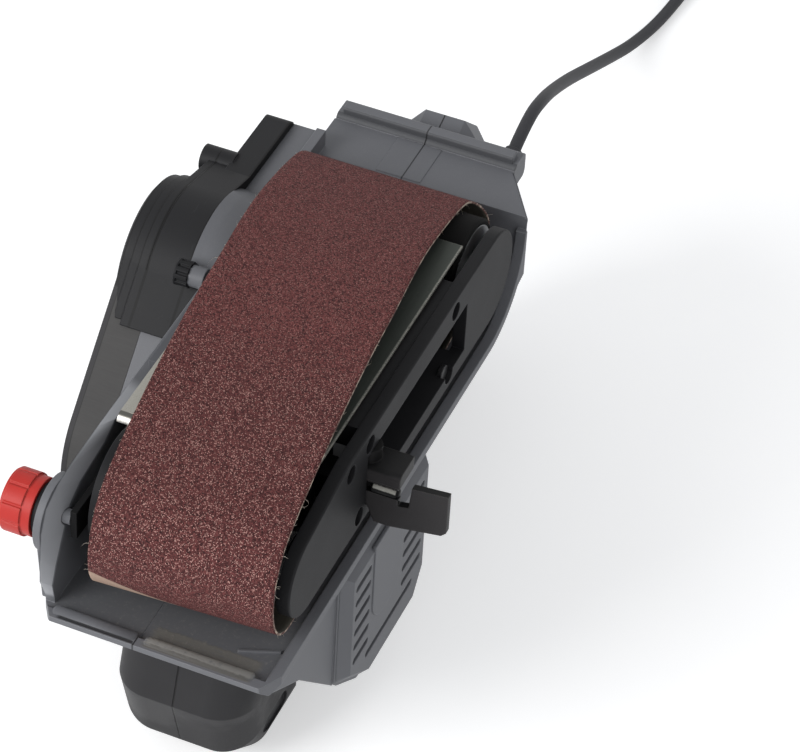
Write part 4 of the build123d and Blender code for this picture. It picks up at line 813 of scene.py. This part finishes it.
def grit_finish():
    """Brown fused grit on cloth: crowded grains, bright flecks, a pale slanting joint and worn edges."""
    shade = Shade("belt grit")
    flat = shade.belt_place()
    across, along, _ = shade.parts(flat)
    grain, reach = shade.cells(flat, 1.9)
    fleck, near = shade.cells(flat, 2.4)
    fine = shade.noise(flat, 3.0, 2)
    cloud = shade.noise(flat, 0.02, 4)
    tone = shade.mix(grain, rgb(22, 7, 9), rgb(128, 72, 70))
    tone = shade.mix(cloud * 0.2 + fine * 0.1, tone, rgb(90, 48, 47))
    # Painted light over the front bend: a darker ground with more and brighter flecks as painted highlights;
    # the steep face below is painted quieter
    upper_run = belt_span + belt_r * end_turn
    glint = shade.band(along, upper_run - 22.0, upper_run + 50.0, 40.0)
    steep = 1 - shade.step(along, upper_run - 52.0, upper_run - 22.0)
    tone = shade.mix(steep * 0.45, shade.mix(glint * 0.3, tone, rgb(46, 19, 21)), rgb(92, 54, 54))
    spark = shade.step(fleck + 0.06 * glint, 0.74, 0.86) * shade.step(0.55 - near, 0.0, 0.2)
    tone = shade.mix(spark * (0.5 + 0.3 * glint - 0.25 * steep), tone, rgb(206, 160, 150))
    ragged = shade.noise(flat, 0.35, 5, rough=0.7)
    side = abs(across - belt_width / 2) + 2.4 * (ragged - 0.5)
    bare = shade.step(side, belt_width / 2 - 0.1, belt_width / 2 + 0.35)
    joint = along - joint_along + across * joint_slant
    taped = shade.band(joint, -joint_width, -0.4, 0.8)
    pale = shade.mix(fine, rgb(146, 118, 102), rgb(200, 178, 160))
    tone = shade.mix((bare * 0.85).larger(taped * 0.85), tone, pale)
    height = ((0.7 - reach) * (0.5 + grain) + fine) * (1 - taped)
    return shade.finish(tone, 0.62 + 0.25 * fine, shade.bump(height, 0.0003), specular_ior_level=0.2)


def cut_edge_finish():
    """Cut edge of the belt: cloth showing pale in places between the ends of the grit coat."""
    shade = Shade("belt cut edge")
    along = shade.belt_place()
    torn = shade.noise(along, 0.22, 5, rough=0.75)
    thread = shade.noise(along, 2.2, 2)
    tone = shade.mix(thread, rgb(168, 146, 126), rgb(214, 200, 184))
    tone = shade.mix(shade.step(0.56 - torn, 0.0, 0.1), tone, rgb(92, 60, 56))
    return shade.finish(tone, 0.7 + 0.2 * thread, shade.bump(thread, 0.0002))


def cloth_finish():
    """Woven backing of the belt."""
    shade = Shade("belt cloth")
    flat = shade.belt_place()
    warp = shade.noise(flat, 1.4, 2, (1.0, 0.08, 1.0))
    weft = shade.noise(flat, 1.4, 2, (0.08, 1.0, 1.0))
    stain = shade.noise(flat, 0.03, 4)
    tone = shade.mix(warp * 0.4 + weft * 0.4 + stain * 0.2, rgb(44, 42, 36), rgb(84, 79, 68))
    return shade.finish(tone, 0.7 + 0.2 * stain, shade.bump(warp + weft, 0.00015))


def strand(mesh, root, way, length, bend):
    """One loose thread: a thin stem grown from its root in short bends, thinner to its tip."""
    corners = [root + Vector(corner) * thread_r for corner in ((1, 0, -0.6), (-1, 0, -0.6), (0, 0, 1))]
    tip = mesh.faces.new([mesh.verts.new(corner) for corner in corners])
    thinner = (thread_taper, thread_taper, thread_taper)
    for _ in range(thread_steps):
        fresh, tip = grow(mesh, tip)
        bmesh.ops.translate(mesh, vec=way * length / thread_steps, verts=fresh)
        middle = sum((vert.co for vert in fresh), Vector()) / len(fresh)
        bmesh.ops.scale(mesh, vec=thinner, space=Matrix.Translation(-middle), verts=fresh)
        way = bend @ way


def belt_frays(spots):
    """Loose threads along both cut edges: many short ones and a few long curls."""
    mesh = bmesh.new()
    dice = random.Random(11)
    for _ in range(short_threads):
        root = dice.choice(spots)
        side = 1 if root.y > 0 else -1
        way = Vector((dice.uniform(-0.9, 0.9), side, dice.uniform(-0.9, 0.9))).normalized()
        axis = Vector((dice.uniform(-1, 1), 0, dice.uniform(-1, 1))).normalized()
        bend = Matrix.Rotation(dice.uniform(-0.4, 0.4), 3, axis)
        strand(mesh, root - way * 0.3, way, 0.7 + 2.2 * dice.random() ** 3, bend)
    # Long curls: near which point, which way, how long, and the turn about x, y and z at each bend
    curls = [
        ((158.9, 37.5, -7.4), (0.5, 0.8, 0.3), 9.0, (0.0, 0.0, -0.42)),
        ((195.3, -37.5, -21.0), (0.2, -0.9, 0.1), 4.0, (0.3, 0.0, 0.2)),
        ((67.0, -37.5, 15.8), (0.5, -0.8, 0.1), 6.5, (0.0, 0.3, 0.25)),
        ((98.0, 37.5, 15.2), (-0.3, 0.9, 0.2), 3.0, (0.2, 0.0, 0.3)),
    ]
    for near, way, length, turns in curls:
        root = min(spots, key=lambda spot: (spot - Vector(near)).length)
        bend = Matrix.Identity(3)
        for angle, axis in zip(turns, "XYZ"):
            bend = bend @ Matrix.Rotation(angle, 3, axis)
        strand(mesh, root, Vector(way).normalized(), length, bend)
    bmesh.ops.recalc_face_normals(mesh, faces=mesh.faces)
    return mesh


strip = belt_strip()
edge_spots = [vert.co.copy() for vert in strip.verts if abs(vert.co.y) > belt_width / 2 - 0.01]
frays = to_belt_place(belt_frays(edge_spots))
belt_finishes = (grit_finish(), cloth_finish(), cut_edge_finish())
grit_belt = piece("grit_belt", to_belt_place(strip), "sanding_belt", "abrasive", *belt_finishes)
grit_belt.data.shade_smooth()
thick = grit_belt.modifiers.new("cloth thickness", "SOLIDIFY")
thick.thickness = 0.0009
thick.offset = 0.0
thick.use_rim = True
thick.material_offset = 1
thick.material_offset_rim = 2
loose = moulded("loose thread", rgb(178, 162, 144), rgb(222, 212, 198), rgb(232, 224, 212), rough=0.7)
belt_threads = piece("belt_threads", frays, "sanding_belt", "abrasive", loose)
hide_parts("sanding_belt")

# Small mouldings of the housing and the lever's bar

lip_bead_ends = {"lip_bead_left": (-43.5, seam_y - 0.4), "lip_bead_right": (seam_y + 3.0, 40.5)}
lip_bead_x = lip_x - 4.4
lip_bead_z = rim_z - 0.35
lip_bead_half = (2.6, 1.0)
rear_strip_low = (-73.8, -20.0, -18.6)
rear_strip_high = (-49.5, 0.2, -17.25)
rear_bar_low = (-82.0, -46.6, -18.4)
rear_bar_high = (-76.0, 31.0, -12.3)
rear_bar_round = 1.4
cap_panel_low = (79.5, 49.5, -113.0)
cap_panel_high = (108.5, 51.1, -68.5)
cap_panel_round = 12.0
tray_rib_outline = [(187.6, 27.9), (181.1, 43.6), (182.6, 43.6), (188.9, 28.5)]
tray_rib_z = (-62.3, -60.9)
arm_slope = radians(45.52)
arm_flat = (43.86, 0, -14.38)
skirt_sunk = -0.8
ramp_start_y = -60.2
ramp_half_arc = radians(46.0)
ramp_low_z = -11.6
ramp_steps = 24
small_round = 0.3
sharp_angle = 0.6


def strip_block(low, high, corner=0.0, chosen=None):
    """Raised strip between two corners, its chosen edges rounded first and then every sharp edge eased."""
    mesh = bmesh.new()
    bmesh.ops.create_cube(mesh, size=1.0)
    bmesh.ops.scale(mesh, vec=Vector(high) - Vector(low), verts=mesh.verts)
    bmesh.ops.translate(mesh, vec=(Vector(high) + Vector(low)) / 2, verts=mesh.verts)
    if chosen:
        round_off(mesh, [edge for edge in mesh.edges if chosen(edge)], corner, segments=10)
    sharp = [edge for edge in mesh.edges if edge.calc_face_angle() > sharp_angle]
    round_off(mesh, sharp, small_round, segments=3)
    return mesh


def bar_top(edge):
    """The upper edges along the rear bar."""
    first, second = [vert.co for vert in edge.verts]
    return min(first.z, second.z) > rear_bar_high[2] - 0.5 and abs(first.y - second.y) > 1


def low_end(edge):
    """The two lower edges of the cap's panel that run through its thickness."""
    first, second = [vert.co for vert in edge.verts]
    return max(first.z, second.z) < cap_panel_low[2] + 0.5 and abs(first.x - second.x) < 0.1


def bead(start, stop_y, half_width, half_height):
    """Rounded bead along y from its start, tapered at both ends."""
    mesh = bmesh.new()
    taper = 0.9
    middle = Vector(start)
    bmesh.ops.create_circle(mesh, cap_ends=True, radius=0.5, segments=20)
    bmesh.ops.rotate(mesh, cent=(0, 0, 0), matrix=Matrix.Rotation(pi / 2, 3, "X"), verts=mesh.verts)
    bmesh.ops.scale(mesh, vec=(half_width, 1.0, half_height), verts=mesh.verts)
    bmesh.ops.translate(mesh, vec=middle, verts=mesh.verts)
    end = mesh.faces[:][0]
    for reach, swell in ((taper, 2.0), (stop_y - middle.y - 2 * taper, 1.0), (taper, 0.5)):
        fresh, end = grow(mesh, end)
        middle = middle + Vector((0, reach, 0))
        bmesh.ops.translate(mesh, vec=(0, reach, 0), verts=fresh)
        bmesh.ops.scale(mesh, vec=(swell, 1.0, swell), space=Matrix.Translation(-middle), verts=fresh)
    bmesh.ops.recalc_face_normals(mesh, faces=mesh.faces)
    return mesh


def plate(outline, low, high, eased):
    """Flat plate from its outline, its upper edges eased."""
    mesh = bmesh.new()
    base = mesh.faces.new([mesh.verts.new((*corner, low)) for corner in outline])
    fresh, _ = grow(mesh, base)
    bmesh.ops.translate(mesh, vec=(0, 0, high - low), verts=fresh)
    bmesh.ops.recalc_face_normals(mesh, faces=mesh.faces)
    upper = [edge for edge in mesh.edges if all(vert in fresh for vert in edge.verts)]
    round_off(mesh, upper, eased, segments=4)
    return mesh


def drum_skirt():
    """Lower front of the drum, stepped like its rings, lying on the flat of the arm."""
    _, first_y, second_y, _ = ring_y
    last_y = -89.4
    back = -2
    rings = [
        ([(back, -60.4), (8, -60.4), (8, -49.7), (31.5, -49.7), (31.5, first_y), (back, first_y)], 2.3),
        ([(back, first_y), (29.3, first_y), (29.3, -84.6), (26.5, second_y), (back, second_y)], 1.5),
        ([(back, second_y), (25.5, second_y), (16, -88.0), (6, last_y), (back, last_y)], 0.7),
    ]
    whole = bmesh.new()
    for outline, high in rings:
        ring = plate(outline, skirt_sunk, high, 0.5)
        shape = bpy.data.meshes.new("ring")
        ring.to_mesh(shape)
        ring.free()
        whole.from_mesh(shape)
        bpy.data.meshes.remove(shape)
    bmesh.ops.rotate(whole, cent=(0, 0, 0), matrix=Matrix.Rotation(arm_slope, 3, "Y"), verts=whole.verts)
    bmesh.ops.translate(whole, vec=arm_flat, verts=whole.verts)
    return whole


def wall_ramp():
    """Shoulder of the housing from the drum's end to the left wall: a round end falling to a flat edge."""
    mesh = bmesh.new()
    first = pi / 2 - ramp_half_arc
    arc = [first + 2 * ramp_half_arc * number / ramp_steps for number in range(ramp_steps + 1)]
    corners = [(drum_x + drum_r * cos(angle), ramp_start_y, drum_z + drum_r * sin(angle)) for angle in arc]
    end = mesh.faces.new([mesh.verts.new(corner) for corner in corners])
    foot = Matrix.Translation((0, 0, -ramp_low_z))
    for reach, height in ((4.4, 0.7), (4.4, 0.57), (4.8, 0.1)):
        fresh, end = grow(mesh, end)
        bmesh.ops.translate(mesh, vec=(0, reach, 0), verts=fresh)
        bmesh.ops.scale(mesh, vec=(1, 1, height), space=foot, verts=fresh)
    bmesh.ops.recalc_face_normals(mesh, faces=mesh.faces)
    return mesh


for name, (start_y, stop_y) in lip_bead_ends.items():
    lip_bead = bead((lip_bead_x, start_y, lip_bead_z), stop_y, *lip_bead_half)
    piece(name, to_frame(lip_bead), "machine", "grey_plastic").data.shade_smooth()
rear_strip = strip_block(rear_strip_low, rear_strip_high)
piece("rear_strip", to_frame(rear_strip), "machine", "grey_plastic")
rear_bar = strip_block(rear_bar_low, rear_bar_high, rear_bar_round, bar_top)
piece("rear_bar", to_frame(rear_bar), "machine", "grey_plastic")
piece("drum_skirt", to_frame(drum_skirt()), "machine", "black_plastic", own_finishes["drive_case"])
lever_bar = bead((bar_x, bar_left_y, bar_z), bar_right_y, bar_r, bar_r)
piece("lever_bar", to_frame(lever_bar), "lever", "dark_steel", bar_finish()).data.shade_smooth()
piece("wall_ramp", to_frame(wall_ramp()), "machine", "grey_plastic").data.shade_smooth()
tray_rib = plate(tray_rib_outline, *tray_rib_z, small_round)
piece("tray_rib", to_frame(tray_rib), "machine", "grey_plastic")
cap_panel = strip_block(cap_panel_low, cap_panel_high, cap_panel_round, low_end)
piece("cap_panel", to_frame(cap_panel), "machine", "grey_plastic")

# Floor, light and backdrop, in metres

floor_half = 4.0
floor_white = (0.82, 0.82, 0.82, 1)
floor_glow = 0.45
pure_white = (1, 1, 1, 1)
sky_tint = (0.95, 0.97, 1.0, 1)
sky_strength = 0.55
aim = Vector((0, 0, 0.1))

floor_data = bmesh.new()
bmesh.ops.create_grid(floor_data, x_segments=1, y_segments=1, size=floor_half)
floor_mesh = bpy.data.meshes.new("floor")
floor_data.to_mesh(floor_mesh)
floor_data.free()
floor = bpy.data.objects.new("floor", floor_mesh)
scene.collection.objects.link(floor)

# Where it is seen, the floor glows a little and fades to white far out
paper = Shade("floor paper")
lit = paper.node("ShaderNodeBsdfDiffuse", {}, {"Color": floor_white})
glow = paper.node("ShaderNodeEmission", {}, {"Color": pure_white, "Strength": floor_glow})
bright = paper.node("ShaderNodeAddShader", {}, {0: lit, 1: glow})
floor_x, floor_y, _ = paper.parts(paper.node("ShaderNodeTexCoord", output="Object"))
far = paper.step(floor_x * floor_x + floor_y * floor_y, 0.7, 2.0)
blank = paper.node("ShaderNodeEmission", {}, {"Color": pure_white, "Strength": 1.0})
bright = paper.node("ShaderNodeMixShader", {}, {0: far, 1: bright, 2: blank})
shown = paper.node("ShaderNodeMixShader", {}, {0: paper.seen(), 1: lit, 2: bright})
floor_mesh.materials.append(paper.show(shown))

sky = Shade("studio", "worlds")
soft = sky.node("ShaderNodeBackground", {}, {"Color": sky_tint, "Strength": sky_strength})
white = sky.node("ShaderNodeBackground", {}, {"Color": pure_white, "Strength": 1.0})
backdrop = sky.node("ShaderNodeMixShader", {}, {0: sky.seen(), 1: soft, 2: white})
scene.world = sky.show(backdrop, "ShaderNodeOutputWorld")


def lamp(name, place, size, watts):
    """Soft square lamp aimed at the machine."""
    data = bpy.data.lights.new(name, "AREA")
    data.size = size
    data.energy = watts
    made = bpy.data.objects.new(name, data)
    scene.collection.objects.link(made)
    made.location = place
    made.rotation_euler = (aim - Vector(place)).to_track_quat("-Z", "Y").to_euler()


lamp("key", place=(1.7, -1.1, 1.25), size=1.2, watts=38)
lamp("fill", place=(1.6, 1.4, 1.3), size=1.4, watts=5.5)
